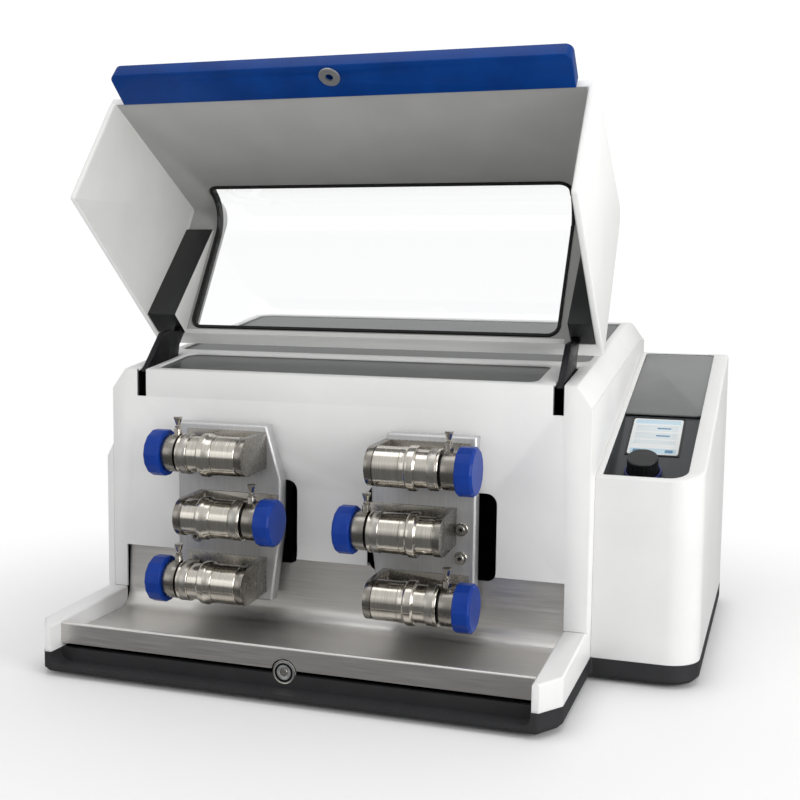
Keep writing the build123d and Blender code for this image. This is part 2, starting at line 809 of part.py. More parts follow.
# Drive frame: two thick plates on columns, standing on the base pan
FRAME_LOW = 44.0
FRAME_HIGH = 252.0
FRAME_T = 12.0
columns = [(118, 392), (457, 392), (MILL_X, 212)]
pivots = [(MILL_X - PIVOT_OFF, PIVOT_BACK), (MILL_X + PIVOT_OFF, PIVOT_BACK)]
with BuildPart() as drive_frame:
    for level in (FRAME_LOW, FRAME_HIGH):
        with BuildSketch(Plane.XY.offset(level)):
            with BuildLine():
                FilletPolyline(
                    *[(across(x), back(y)) for x, y in [(98, 205), (477, 205), (477, 412), (98, 412)]],
                    radius=15,
                    close=True,
                )
            make_face()
            with Locations(*[(across(x), back(y)) for x, y in pivots]):
                Circle(SHAFT_R + RUN, mode=Mode.SUBTRACT)
            if level == FRAME_HIGH:
                with Locations((across(MILL_X), back(CRANK_BACK))):
                    Circle(8 + RUN, mode=Mode.SUBTRACT)
        extrude(amount=FRAME_T)
    with BuildSketch(Plane.XY.offset(FRAME_LOW + FRAME_T)):
        with Locations(*[(across(x), back(y)) for x, y in columns]):
            Circle(11)
    extrude(amount=FRAME_HIGH - FRAME_LOW - FRAME_T)
    with BuildSketch(Plane.XY.offset(PAN_FLOOR)):
        with Locations((across(MILL_X), back(308.5))):
            with GridLocations(350, 178, 2, 2):
                Circle(13)
    extrude(amount=FRAME_LOW - PAN_FLOOR)

with BuildPart() as rocker_shafts:
    with BuildSketch(Plane.XY.offset(FRAME_LOW)):
        with Locations(*[(across(x), back(y)) for x, y in pivots]):
            Circle(SHAFT_R)
    extrude(amount=FRAME_HIGH + FRAME_T - FRAME_LOW)
    with BuildSketch(Plane.XY.offset(FRAME_HIGH + FRAME_T)):
        with Locations(*[(across(x), back(y)) for x, y in pivots]):
            RegularPolygon(16, 6)
    extrude(amount=8)

MOTOR_TOP = 146.0
with BuildPart() as drive_motor:
    with BuildSketch(Plane.XY.offset(FRAME_LOW + FRAME_T)):
        with Locations((across(MILL_X), back(CRANK_BACK))):
            Circle(45)
            with PolarLocations(45, 24):
                Rectangle(6, 2)
    extrude(amount=MOTOR_TOP - FRAME_LOW - FRAME_T - 4)
    with BuildSketch(Plane.XY.offset(MOTOR_TOP - 4)):
        with Locations((across(MILL_X), back(CRANK_BACK))):
            Circle(50)
    extrude(amount=4)
    with BuildSketch(Plane.XY.offset(MOTOR_TOP)):
        with Locations((across(MILL_X), back(CRANK_BACK))):
            Circle(8 + RUN)
    extrude(amount=-30, mode=Mode.SUBTRACT)

# Crankshaft: a vertical shaft with two eccentric discs, half a turn apart
LEVEL_LOW = 164.0
LEVEL_HIGH = 190.0
EYE_T = 14.0
with BuildPart() as crankshaft:
    with BuildSketch(Plane.XY.offset(MOTOR_TOP - 29)):
        with Locations((across(MILL_X), back(CRANK_BACK))):
            Circle(8)
    extrude(amount=FRAME_HIGH + FRAME_T - MOTOR_TOP + 29)
    for level, way in ((LEVEL_LOW, -1), (LEVEL_HIGH, 1)):
        with BuildSketch(Plane.XY.offset(level + 1)):
            with Locations((across(MILL_X), back(CRANK_BACK + way * CRANK_THROW))):
                Circle(12)
        extrude(amount=EYE_T - 2)

# Rocker arms: a long hub on the shaft, a block through the wall and a tail that ends in a wide eye
HUB_R = 26.0
ARM_HALF = 45.0
ARM_LOW = 121.0
ARM_HIGH = 191.0
EYE_IN = 33.0
EYE_OUT = 42.0


def rocker_arm(way, level):
    # way is -1 for the left rocker and 1 for the right one
    pivot_x = MILL_X + way * PIVOT_OFF
    with BuildPart() as arm:
        with BuildSketch(Plane.XY.offset(FRAME_LOW + FRAME_T + 1)):
            with Locations((across(pivot_x), back(PIVOT_BACK))):
                Circle(HUB_R)
        extrude(amount=FRAME_HIGH - FRAME_LOW - FRAME_T - 2)
        with BuildSketch(Plane.XY.offset(ARM_LOW)):
            with BuildLine():
                Polyline(
                    (across(pivot_x - ARM_HALF), back(PLATE_REAR)),
                    (across(pivot_x + ARM_HALF), back(PLATE_REAR)),
                    (across(pivot_x + HUB_R), back(PIVOT_BACK)),
                    (across(pivot_x - HUB_R), back(PIVOT_BACK)),
                    close=True,
                )
            make_face()
        extrude(amount=ARM_HIGH - ARM_LOW)
        with BuildSketch(Plane.XY.offset(level)):
            with BuildLine():
                Polyline(
                    (across(pivot_x - way * 8), back(PIVOT_BACK - 14)),
                    (across(MILL_X + way * 22), back(CRANK_BACK - 34)),
                    (across(MILL_X + way * 38), back(CRANK_BACK + 6)),
                    (across(pivot_x + way * 2), back(PIVOT_BACK + 20)),
                    close=True,
                )
            make_face()
            with Locations((across(MILL_X), back(CRANK_BACK))):
                Circle(EYE_OUT)
                Circle(EYE_IN, mode=Mode.SUBTRACT)
        extrude(amount=EYE_T)
        with BuildSketch(Plane.XY.offset(FRAME_LOW)):
            with Locations((across(pivot_x), back(PIVOT_BACK))):
                Circle(SHAFT_R + RUN)
        extrude(amount=FRAME_HIGH, mode=Mode.SUBTRACT)
    return arm.part


def rocker_plate(way):
    # the face plate that carries the cradles
    outer = RIGHT_PLATE_OUT if way > 0 else LEFT_PLATE_OUT
    outline = [(outer, 67), (64.5, 67), (54, 147), (54, 207), (71.5, 266), (outer, 266)]
    with BuildPart() as plate:
        with BuildSketch(upright(PLATE_FRONT)):
            with BuildLine():
                Polyline(*[(across(LID_X + way * x), z) for x, z in outline], close=True)
            make_face()
        extrude(amount=-(PLATE_REAR - PLATE_FRONT))
        chamfer(plate.faces().sort_by(Axis.Y)[0].outer_wire().edges(), length=2)
    return plate.part


# Jars, cradles, clamp knobs and lock pins. Each station has its own frame: its z runs along the jar from
# the closed end to the knob, its y points up, and a sketch's x times the station's way points to the rear.
END_T = 7.8
END_R = 21.0
JAR_END = 79.0
COLLAR_START = 82.2
COLLAR_END = 96.5
COLLAR_R = 20.5
KNOB_START = 97.0
KNOB_FLAT_R = 25.2
DISC_R = 17.0
SPINDLE_R = 8.0
PIN_ALONG = 85.5
WEB_T = 4.0
WEB_LOW = -17.4
WEB_HIGH = 22.5
TO_PLATE = PLATE_FRONT - JAR_BACK
LOCK_PIN_R = 2.0
stations = [(side, level) for side in ("left", "right") for level in JAR_HEIGHTS]


def side_way(side):
    return -1 if side == "left" else 1


def station_way(side, level):
    # the direction along X in which the jar's knob points
    return -side_way(side) if level == "middle" else side_way(side)


def station_start(side, level):
    # the point on the jar's axis at its closed end
    reach = MIDDLE_REACH if level == "middle" else OUTER_REACH
    pivot_x = MILL_X + side_way(side) * PIVOT_OFF
    x = pivot_x + station_way(side, level) * (reach - JAR_SPAN)
    return Vector(across(x), back(JAR_BACK), JAR_HEIGHTS[level])


def station_plane(side, level, along):
    way = station_way(side, level)
    start = station_start(side, level) + Vector(way * along, 0, 0)
    return Plane(origin=start, x_dir=(0, way, 0), z_dir=(way, 0, 0))


def cradle(side, level):
    # end plate, back web, short flange under the jar, and the collar that holds the clamp's spindle
    way = station_way(side, level)
    with BuildPart() as holder:
        with BuildSketch(station_plane(side, level, 0)):
            Circle(END_R)
            with BuildLine():
                Polyline(
                    (0, END_R),
                    (way * TO_PLATE, WEB_HIGH),
                    (way * TO_PLATE, WEB_LOW),
                    (0, -END_R),
                    close=True,
                )
            make_face()
        extrude(amount=END_T)
        with BuildSketch(station_plane(side, level, END_T)):
            with Locations((way * (TO_PLATE - WEB_T / 2), (WEB_LOW + WEB_HIGH) / 2)):
                Rectangle(WEB_T, WEB_HIGH - WEB_LOW)
        extrude(amount=COLLAR_END - END_T)
        with BuildSketch(station_plane(side, level, END_T)):
            with Locations((way * (TO_PLATE - 13), WEB_LOW - 1)):
                Rectangle(26, 2)
        extrude(amount=66 - END_T)
        with BuildSketch(station_plane(side, level, COLLAR_START)):
            Circle(COLLAR_R)
            with Locations((way * TO_PLATE / 2, 0)):
                Rectangle(TO_PLATE, 26)
        extrude(amount=COLLAR_END - COLLAR_START)
        pin_base = station_start(side, level) + Vector(way * PIN_ALONG, 0, 0)
        with BuildSketch(Plane(origin=pin_base + Vector(0, 0, 18), z_dir=(0, 0, 1))):
            RegularPolygon(5, 6)
        extrude(amount=9)
        with BuildSketch(Plane(origin=pin_base + Vector(0, 0, 11), z_dir=(0, 0, 1))):
            Circle(LOCK_PIN_R + GAP)
        extrude(amount=30, mode=Mode.SUBTRACT)
        with BuildSketch(station_plane(side, level, COLLAR_START)):
            Circle(SPINDLE_R + GAP)
        extrude(amount=COLLAR_END - COLLAR_START, mode=Mode.SUBTRACT)
    return holder.part


# Half sections of a closed jar: distance along the jar, then radius. The middle jars stand turned round.
HUMP_R = 23.8
BAND_R = 21.9
NECK_R = 19.9
LINE_R = 21.0
cap_profile = [
    (66.5, JAR_R),
    (75.7, JAR_R),
    (75.7, 22.0),
    (JAR_END, 22.0),
    (JAR_END, 0),
]
outer_profile = [
    (END_T, 0),
    (END_T, 19.5),
    (8.9, 19.5),
    (8.9, JAR_R),
    (36.7, JAR_R),
    (36.7, LINE_R),
    (37.1, LINE_R),
    (37.1, BAND_R),
    (43, BAND_R),
    (45, HUMP_R),
    (52, HUMP_R),
    (53.7, 22.4),
    (53.7, NECK_R),
    (66.5, NECK_R),
    *cap_profile,
]
middle_profile = [
    (END_T, 0),
    (END_T, 19.5),
    (8.9, 19.5),
    (8.9, NECK_R),
    (26.5, NECK_R),
    (26.5, 22.4),
    (28.2, HUMP_R),
    (35.2, HUMP_R),
    (37.2, BAND_R),
    (43.1, BAND_R),
    (43.1, LINE_R),
    (43.8, LINE_R),
    (43.8, JAR_R),
    (66, JAR_R),
    (66, LINE_R),
    (66.5, LINE_R),
    *cap_profile,
]


def jar(side, level):
    # a closed steel jar, turned about its own axis
    way = station_way(side, level)
    start = station_start(side, level)
    with BuildPart() as vessel:
        with BuildSketch(Plane(origin=start, x_dir=(way, 0, 0), z_dir=(0, -way, 0))):
            with BuildLine():
                Polyline(*(middle_profile if level == "middle" else outer_profile), close=True)
            make_face()
        revolve(axis=Axis(start, (way, 0, 0)))
    return vessel.part


def clamp_knob(side, level):
    # a knob with fourteen flats on a spindle that reaches through the collar to a disc at the jar
    way = station_way(side, level)
    with BuildPart() as knob:
        with BuildSketch(station_plane(side, level, KNOB_START)):
            RegularPolygon(KNOB_FLAT_R, 14, major_radius=False)
        extrude(amount=JAR_SPAN - KNOB_START)
        flat_faces = knob.faces().filter_by(Axis.X).sort_by(Axis.X)
        chamfer(flat_faces[-1].edges(), length=2.5 if way > 0 else 1)
        chamfer(flat_faces[0].edges(), length=1 if way > 0 else 2.5)
        with BuildSketch(station_plane(side, level, JAR_END + GAP)):
            Circle(SPINDLE_R)
        extrude(amount=KNOB_START - JAR_END)
        with BuildSketch(station_plane(side, level, JAR_END + GAP)):
            Circle(DISC_R)
        extrude(amount=COLLAR_START - JAR_END - 2 * GAP)
    return knob.part


# Half section of a lock pin: radius, then height above the jar's axis
pin_profile = [
    (0, 12),
    (LOCK_PIN_R, 12),
    (LOCK_PIN_R, 28.6),
    (3.4, 28.6),
    (3.4, 30.6),
    (1.9, 30.6),
    (4.6, 38.5),
    (4.8, 38.5),
    (4.8, 40.5),
    (0, 40.5),
]


def lock_pin(side, level):
    # a spring-loaded pin with a small conical knob, standing in the collar
    base = station_start(side, level) + Vector(station_way(side, level) * PIN_ALONG, 0, 0)
    with BuildPart() as pin:
        with BuildSketch(Plane(origin=base, x_dir=(1, 0, 0), z_dir=(0, -1, 0))):
            with BuildLine():
                Polyline(*pin_profile, close=True)
            make_face()
        revolve(axis=Axis(base, (0, 0, 1)))
    return pin.part


rockers = {}
for side, eye_level in (("left", LEVEL_HIGH), ("right", LEVEL_LOW)):
    rockers[f"rocker_arm_{side}"] = rocker_arm(side_way(side), eye_level)
    rockers[f"rocker_plate_{side}"] = rocker_plate(side_way(side))

cradles = {}
for side in ("left", "right"):
    with BuildPart() as holders:
        add([cradle(side, level) for level in JAR_HEIGHTS])
    cradles[f"cradles_{side}"] = holders.part

# Lid: drawn closed in its own plane, which is turned open about the hinge
SKIN_CORNER = (-26.5, 271.0)
SKIN_SLOPE = (302.8 - 271.0) / (154.5 + 26.5)
WALL_LEAN = -(14 + 26.5) / (271 - 60)
LID_REAR = 154.5
WINDOW_LOW = (-16.0, 220.0)
WINDOW_REAR = (146.0, 300.8)
ALONG_FRONT = (-0.1885, 0.982)
ALONG_TOP = (0.985, 0.173)


def skin_z(y):
    # height of the lid's inner top skin when it is closed
    return SKIN_CORNER[1] + (y - SKIN_CORNER[0]) * SKIN_SLOPE


def lid_plane(x):
    return Plane(origin=(across(x), HINGE_Y, HINGE_Z), x_dir=(0, LID_COS, LID_SIN), z_dir=(1, 0, 0))


def closed(y, z):
    # a point of the closed lid, as seen from the hinge
    return (y - HINGE_BACK, z - HINGE_Z)


def lid_point(x, y, z):
    # where a point of the closed lid is when the lid is open
    dy, dz = closed(y, z)
    return Vector(across(x), HINGE_Y + dy * LID_COS - dz * LID_SIN, HINGE_Z + dy * LID_SIN + dz * LID_COS)


def lid_rear_plane(x, y, z):
    # a plane that faces the rear when the lid is closed
    return Plane(origin=lid_point(x, y, z), x_dir=(1, 0, 0), z_dir=(0, LID_COS, LID_SIN))


WINDOW_CUT = [(-10.1, 221.1), (-62, 211.1), (-62, 345), (138.3, 345), (141.7, 325.4), (147, 294.9)]
with BuildPart() as window_cutter:
    with BuildSketch(lid_plane(LID_X - WINDOW_HALF)):
        with BuildLine():
            Polyline(*[closed(y, z) for y, z in WINDOW_CUT], close=True)
        make_face()
    extrude(amount=2 * WINDOW_HALF)
    for y, z in ((-36, 216.1), (141.7, 325.4)):
        for side_x in (LID_X - WINDOW_HALF, LID_X + WINDOW_HALF):
            corner = window_cutter.edges().filter_by(Axis.X, reverse=True)
            fillet(corner.sort_by_distance(lid_point(side_x, y, z))[0], radius=14)

with BuildPart() as lid_shell:
    with BuildSketch(lid_plane(LID_X - LID_HALF)):
        with BuildLine():
            FilletPolyline(
                closed(4, 57),
                closed(-40.6, 293),
                closed(LID_REAR, 325),
                closed(LID_REAR, 67),
                closed(20, 57),
                radius=[0, 22, 3, 3, 0],
                close=True,
            )
        make_face()
    extrude(amount=2 * LID_HALF)
    with BuildSketch(lid_plane(LID_X - LID_HALF + LID_SIDE)):
        with BuildLine():
            Polyline(
                closed(14 - 20 * WALL_LEAN, 40),
                closed(*SKIN_CORNER),
                closed(LID_REAR + 10, skin_z(LID_REAR + 10)),
                closed(LID_REAR + 10, 40),
                close=True,
            )
        make_face()
    extrude(amount=2 * (LID_HALF - LID_SIDE), mode=Mode.SUBTRACT)
    add(window_cutter.part, mode=Mode.SUBTRACT)


def bent_sheet(half, trim, thickness, corner_r, mid):
    # a sheet that follows the window's opening round the lid's corner, trimmed at both ends; its middle
    # lies mid outside the lid's inner skin
    low = (
        WINDOW_LOW[0] + ALONG_FRONT[0] * trim - ALONG_FRONT[1] * mid,
        WINDOW_LOW[1] + ALONG_FRONT[1] * trim + ALONG_FRONT[0] * mid,
    )
    corner = (SKIN_CORNER[0] - 1.15 * mid, SKIN_CORNER[1] + 0.8 * mid)
    rear = (
        WINDOW_REAR[0] - ALONG_TOP[0] * trim - ALONG_TOP[1] * mid,
        WINDOW_REAR[1] - ALONG_TOP[1] * trim + ALONG_TOP[0] * mid,
    )
    with BuildPart() as sheet:
        with BuildSketch(lid_plane(LID_X - half)):
            with BuildLine():
                FilletPolyline(closed(*low), closed(*corner), closed(*rear), radius=42)
            trace(line_width=thickness)
        extrude(amount=2 * half)
        fillet(sheet.edges().filter_by(lambda e: abs(e.length - thickness) < 0.01), radius=corner_r)
    return sheet.part


PANE_T = 4.0
SEAL_DEEP = 13.0
pane = bent_sheet(WINDOW_HALF - 1.6, 2.0, PANE_T, 12.5, PANE_T / 2)
pane_seat = bent_sheet(WINDOW_HALF - 1.5, 1.9, PANE_T + 0.2, 12.6, PANE_T / 2)
gasket_outer = bent_sheet(WINDOW_HALF - 0.2, 0.4, SEAL_DEEP, 14, SEAL_DEEP / 2 - 1)
gasket_inner = bent_sheet(WINDOW_HALF - 3.2, 3.4, 30, 11, SEAL_DEEP / 2 - 1)
with BuildPart() as lid_window:
    add(pane)
with BuildPart() as window_gasket:
    add(gasket_outer)
    add(gasket_inner, mode=Mode.SUBTRACT)
    add(pane_seat, mode=Mode.SUBTRACT)

BAR_HALF = 262.0
BAR_LOW = 14.0
BAR_HIGH = 57.0
BAR_FRONT = -2.0
BAR_REAR = 16.5
STUD_BORE_R = 4.4
BAR_HALF_HEIGHT = (BAR_HIGH - BAR_LOW) / 2
with BuildPart() as handle_bar:
    # the corners that lie in the pan's channel when the lid is closed are rounded
    with BuildSketch(lid_rear_plane(LID_X, BAR_REAR, BAR_LOW + BAR_HALF_HEIGHT)):
        with BuildLine():
            FilletPolyline(
                (-BAR_HALF, -BAR_HALF_HEIGHT),
                (BAR_HALF, -BAR_HALF_HEIGHT),
                (BAR_HALF, BAR_HALF_HEIGHT),
                (-BAR_HALF, BAR_HALF_HEIGHT),
                radius=[0, 0, CORNER_R, CORNER_R],
                close=True,
            )
        make_face()
    extrude(amount=BAR_FRONT - BAR_REAR)
    bar_faces = handle_bar.faces().sort_by(Axis((0, 0, 0), (0, LID_COS, LID_SIN)))
    fillet(bar_faces[0].outer_wire().edges(), radius=2.5)
    chamfer(bar_faces[-1].outer_wire().edges(), length=1)
    with BuildSketch(lid_rear_plane(LOCK_X, BAR_REAR, LOCK_Z)):
        Circle(STUD_BORE_R)
    extrude(amount=-6, mode=Mode.SUBTRACT)

with BuildPart() as lock_stud:
    with BuildSketch(lid_rear_plane(LOCK_X, BAR_REAR, LOCK_Z)):
        Circle(11.8)
        Circle(STUD_BORE_R, mode=Mode.SUBTRACT)
    extrude(amount=2.3)
    chamfer(lock_stud.edges().filter_by(GeomType.CIRCLE).group_by(SortBy.RADIUS)[-1], length=0.5)

arm_outline = [
    (60, 274.5),
    (150, 291),
    (160.5, 291),
    (163, 289),
    (170, 278),
    (185, 264),
    (246, 261),
    (231.9, 309),
    (217, 309),
    (210, 322.3),
    (172, 303),
    (LID_REAR, skin_z(LID_REAR)),
    (60, skin_z(60)),
]
with BuildPart() as lid_arms:
    for inner in (ARM_X - ARM_OUT, ARM_X + ARM_IN):
        with BuildSketch(lid_plane(inner)):
            with BuildLine():
                Polyline(*[closed(y, z) for y, z in arm_outline], close=True)
            make_face()
            Circle(15)
            Circle(PIN_R + RUN, mode=Mode.SUBTRACT)
        extrude(amount=ARM_OUT - ARM_IN)

COVER_IN = 241.0
COVER_OUT = LID_HALF - LID_SIDE
ARM_GAP = 0.5
with BuildPart() as arm_covers:
    for low_x, high_x in ((LID_X - COVER_OUT, ARM_X - COVER_IN), (ARM_X + COVER_IN, LID_X + COVER_OUT)):
        with BuildSketch(lid_plane(low_x)):
            with BuildLine():
                Polyline(
                    closed(6, 273),
                    closed(154, 267),
                    closed(154, skin_z(154)),
                    closed(6, skin_z(6)),
                    close=True,
                )
            make_face()
        extrude(amount=high_x - low_x)
    for inner in (ARM_X - ARM_OUT - ARM_GAP, ARM_X + ARM_IN - ARM_GAP):
        with BuildSketch(lid_plane(inner)):
            with BuildLine():
                Polyline(
                    closed(58, 273.7),
                    closed(150, 290.2),
                    closed(160, 290.2),
                    closed(160, 310),
                    closed(58, 292),
                    close=True,
                )
            make_face()
        extrude(amount=ARM_OUT - ARM_IN + 2 * ARM_GAP, mode=Mode.SUBTRACT)

# Hinge brackets: on each side a plate with a pin, and a foot on the side cover's inner face
BRACKET_IN = 253.0
BRACKET_T = 8.0
BRACKET_LOW = 258.0
PIN_IN = 241.5
with BuildPart() as hinge_brackets:
    for way, cover_face in ((-1, BULGE + SHEET), (1, CHAMBER_W - SHEET)):
        plate_x = min(ARM_X + way * BRACKET_IN, ARM_X + way * (BRACKET_IN + BRACKET_T))
        with BuildSketch(side_plane(plate_x)):
            with BuildLine():
                Polyline(
                    (back(HINGE_BACK - 12), HINGE_Z),
                    (back(HINGE_BACK + 12), HINGE_Z),
                    (back(236), BRACKET_LOW),
                    (back(198), BRACKET_LOW),
                    close=True,
                )
            make_face()
            with Locations((HINGE_Y, HINGE_Z)):
                Circle(12)
        extrude(amount=BRACKET_T)
        foot_from = min(ARM_X + way * (BRACKET_IN + BRACKET_T), cover_face)
        foot_to = max(ARM_X + way * (BRACKET_IN + BRACKET_T), cover_face)
        with BuildSketch(Plane.XY.offset(BRACKET_LOW)):
            with Locations((across((foot_from + foot_to) / 2), back(217))):
                Rectangle(foot_to - foot_from, 38)
        extrude(amount=5)
        with BuildSketch(Plane.XY.offset(BRACKET_LOW)):
            with Locations((across(cover_face - way * 1.5), back(217))):
                Rectangle(3, 38)
        extrude(amount=30)
        pin_from = min(ARM_X + way * BRACKET_IN, ARM_X + way * PIN_IN)
        with BuildSketch(side_plane(pin_from)):
            with Locations((HINGE_Y, HINGE_Z)):
                Circle(PIN_R)
        extrude(amount=BRACKET_IN - PIN_IN)

# The switch rests in its off position, tilted about its pivot
SWITCH_TILT = 6.0
switch_axis = Axis((0, back(REAR_Y), SWITCH_Z), (1, 0, 0))
power_switch_off = power_switch.part.rotate(switch_axis, -SWITCH_TILT)

nodes = {
    "base_pan": base_pan.part,
    "rubber_feet": rubber_feet.part,
    "left_side_cover": left_side_cover.part,
    "right_side_cover": right_side_cover.part,
    "front_wall": front_wall.part,
    "front_top_plate": front_top_plate,
    "rear_hood": rear_hood.part,
    "top_panel": top_panel,
    "rear_panel": rear_panel.part,
    "mains_inlet": mains_inlet.part,
    "power_switch": power_switch_off,
    "fan_frame": fan_frame.part,
    "fan_rotor": fan_rotor.part,
    "control_housing": control_housing.part,
    "control_cover": control_cover.part,
    "control_panel": control_panel.part,
    "display": display.part,
    "knob_ring": knob_ring.part,
    "knob_shaft": knob_shaft.part,
    "knob_cap": knob_cap.part,
    "control_board": control_board.part,
    "chamber_tray": chamber_tray.part,
    "latch_housing": latch_housing.part,
    "latch_plunger": latch_plunger.part,
    "drive_frame": drive_frame.part,
    "rocker_shafts": rocker_shafts.part,
    "drive_motor": drive_motor.part,
    "crankshaft": crankshaft.part,
    "hinge_brackets": hinge_brackets.part,
    "lid_shell": lid_shell.part,
    "lid_window": lid_window.part,
    "window_gasket": window_gasket.part,
    "handle_bar": handle_bar.part,
    "lock_stud": lock_stud.part,
    "lid_arms": lid_arms.part,
    "arm_covers": arm_covers.part,
}
nodes.update(rockers)
nodes.update(cradles)
for side, level in stations:
    nodes[f"grinding_jar_{side}_{level}"] = jar(side, level)
    nodes[f"clamp_knob_{side}_{level}"] = clamp_knob(side, level)
    nodes[f"lock_pin_{side}_{level}"] = lock_pin(side, level)
for label, solid in nodes.items():
    export_node(solid, label)
print(len(nodes), "nodes written")
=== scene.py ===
# %% [markdown]
# # A bench mixer mill
# We dress a laboratory mixer mill: a white powder coated cabinet with its windowed lid standing open,
# two rocker arms that carry six steel grinding jars, a stainless tray in front of them and a sunken
# control panel on the right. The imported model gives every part's place and size in metres. Here each
# part gets a finish, the sheet parts get rounded edges, and small pieces that only the eye needs are added.

# %% Load the frame
import json
import math

import bpy
from mathutils import Matrix, Vector


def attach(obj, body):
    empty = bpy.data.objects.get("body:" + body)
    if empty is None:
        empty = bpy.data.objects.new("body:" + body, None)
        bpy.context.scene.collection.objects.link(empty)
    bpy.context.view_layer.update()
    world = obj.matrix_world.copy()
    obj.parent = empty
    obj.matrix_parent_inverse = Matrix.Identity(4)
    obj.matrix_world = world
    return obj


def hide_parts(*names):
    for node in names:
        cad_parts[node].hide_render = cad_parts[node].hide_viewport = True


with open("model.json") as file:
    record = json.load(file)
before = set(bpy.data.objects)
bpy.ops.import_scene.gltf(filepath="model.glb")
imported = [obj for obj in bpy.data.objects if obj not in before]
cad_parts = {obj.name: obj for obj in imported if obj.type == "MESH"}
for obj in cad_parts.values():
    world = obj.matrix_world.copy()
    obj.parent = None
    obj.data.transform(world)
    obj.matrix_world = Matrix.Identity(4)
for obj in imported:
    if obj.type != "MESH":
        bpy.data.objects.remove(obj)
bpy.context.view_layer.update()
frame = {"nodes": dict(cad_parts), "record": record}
print("parts in the frame:", len(frame["nodes"]))

# %% [markdown]
# ## Units and places
# The mill was drawn in millimetres from its own front left corner. Two short functions turn such a
# distance into a place in the frame, so that every size below reads like a real one. The middle lines
# of the lid, the mill and the lid's arms and the hinge, seen from the side, have names of their own.

# %% Units and places
MM = 0.001
LEFT = -345.0
FRONT = -291.75
LID_MID = 288.5
MILL_MID = 287.5
ARM_MID = 294.0
HINGE = (217.0, 309.0)
LID_OPEN = math.radians(131)


def place(x, y, z):
    # a point given in millimetres from the front left corner of the rails
    return Vector(((LEFT + x) * MM, (FRONT + y) * MM, z * MM))


def lid_place(x, y, z):
    # where a point of the closed lid is while the lid stands open
    dy, dz = y - HINGE[0], z - HINGE[1]
    turn_cos, turn_sin = math.cos(-LID_OPEN), math.sin(-LID_OPEN)
    return place(x, HINGE[0] + dy * turn_cos - dz * turn_sin, HINGE[1] + dy * turn_sin + dz * turn_cos)


print("hinge at", place(LID_MID, *HINGE))

# %% [markdown]
# ## Colours and nodes
# Paint charts give sRGB values, but shaders calculate with linear light, so one function converts a
# hex colour. A second small function adds any node with its settings and links, and a third starts a
# material and hands back its shader. The others are combinations that most materials below use.

# %% Colours and nodes
NOISE_SPAN = (0.3, 0.7)  # most values of a noise lie between these two


def linear(hex_colour):
    parts = [int(hex_colour[i : i + 2], 16) / 255 for i in (1, 3, 5)]
    light = [c / 12.92 if c <= 0.04045 else ((c + 0.055) / 1.055) ** 2.4 for c in parts]
    return (*light, 1.0)


def add_node(tree, kind, settings=None, inputs=None):
    # settings are the node's own values, inputs are socket values or the sockets that feed them
    node = tree.nodes.new(kind)
    for name, value in (settings or {}).items():
        setattr(node, name, value)
    for name, value in (inputs or {}).items():
        if isinstance(value, bpy.types.NodeSocket):
            tree.links.new(value, node.inputs[name])
        else:
            node.inputs[name].default_value = value
    return node


def start_material(name, colour, roughness, metallic=0.0, **sockets):
    material = bpy.data.materials.new(name)
    material.use_nodes = True
    tree = material.node_tree
    shader = tree.nodes["Principled BSDF"]
    shader.inputs["Base Color"].default_value = linear(colour)
    shader.inputs["Roughness"].default_value = roughness
    shader.inputs["Metallic"].default_value = metallic
    for socket, value in sockets.items():
        shader.inputs[socket.replace("_", " ")].default_value = value
    material.diffuse_color = linear(colour)
    return material, tree, shader


def object_noise(tree, size_mm, stretch=(1, 1, 1), detail=3.0):
    # noise whose grains are about size_mm across, longer where stretch is small
    coordinates = add_node(tree, "ShaderNodeTexCoord")
    scale = tuple(s * 1000 / size_mm for s in stretch)
    scaled = add_node(
        tree,
        "ShaderNodeMapping",
        inputs={"Vector": coordinates.outputs["Object"], "Scale": scale},
    )
    return add_node(
        tree,
        "ShaderNodeTexNoise",
        inputs={"Vector": scaled.outputs["Vector"], "Scale": 1.0, "Detail": detail},
    )


def map_range(tree, value, source, target, interpolation="LINEAR"):
    # a value that runs over the source range comes out over the target range
    ranges = {
        "From Min": source[0],
        "From Max": source[1],
        "To Min": target[0],
        "To Max": target[1],
    }
    settings = {"interpolation_type": interpolation}
    node = add_node(tree, "ShaderNodeMapRange", settings, {"Value": value, **ranges})
    return node.outputs["Result"]


def vary_colour(tree, shader, noise, dark, light):
    # the base colour drifts between two near tones
    ramp = add_node(tree, "ShaderNodeValToRGB", inputs={"Fac": noise.outputs["Fac"]})
    for element, position, tone in zip(ramp.color_ramp.elements, NOISE_SPAN, (dark, light)):
        element.position = position
        element.color = linear(tone)
    tree.links.new(ramp.outputs["Color"], shader.inputs["Base Color"])


def vary_roughness(tree, shader, noise, low, high):
    spread = map_range(tree, noise.outputs["Fac"], NOISE_SPAN, (low, high))
    tree.links.new(spread, shader.inputs["Roughness"])


def add_bump(tree, shader, height_socket, depth_mm, strength):
    bump = add_node(
        tree,
        "ShaderNodeBump",
        inputs={"Height": height_socket, "Distance": depth_mm * MM, "Strength": strength},
    )
    tree.links.new(bump.outputs["Normal"], shader.inputs["Normal"])


print("colour check, mid grey is", round(linear("#808080")[0], 3))

# %% [markdown]
# ## Powder coated steel
# The cabinet and the lid are steel sheet under a white powder coat. The powder melts in an oven and
# leaves a satin film with a faint orange peel about a millimetre across, which softens reflections.

# %% Powder coated steel


def powder_coat(name, dark, light, roughness):
    material, tree, shader = start_material(name, light, roughness)
    mottle = object_noise(tree, 60)
    vary_colour(tree, shader, mottle, dark, light)
    peel = object_noise(tree, 1.2, detail=1.0)
    add_bump(tree, shader, peel.outputs["Fac"], 0.02, 0.25)
    return material


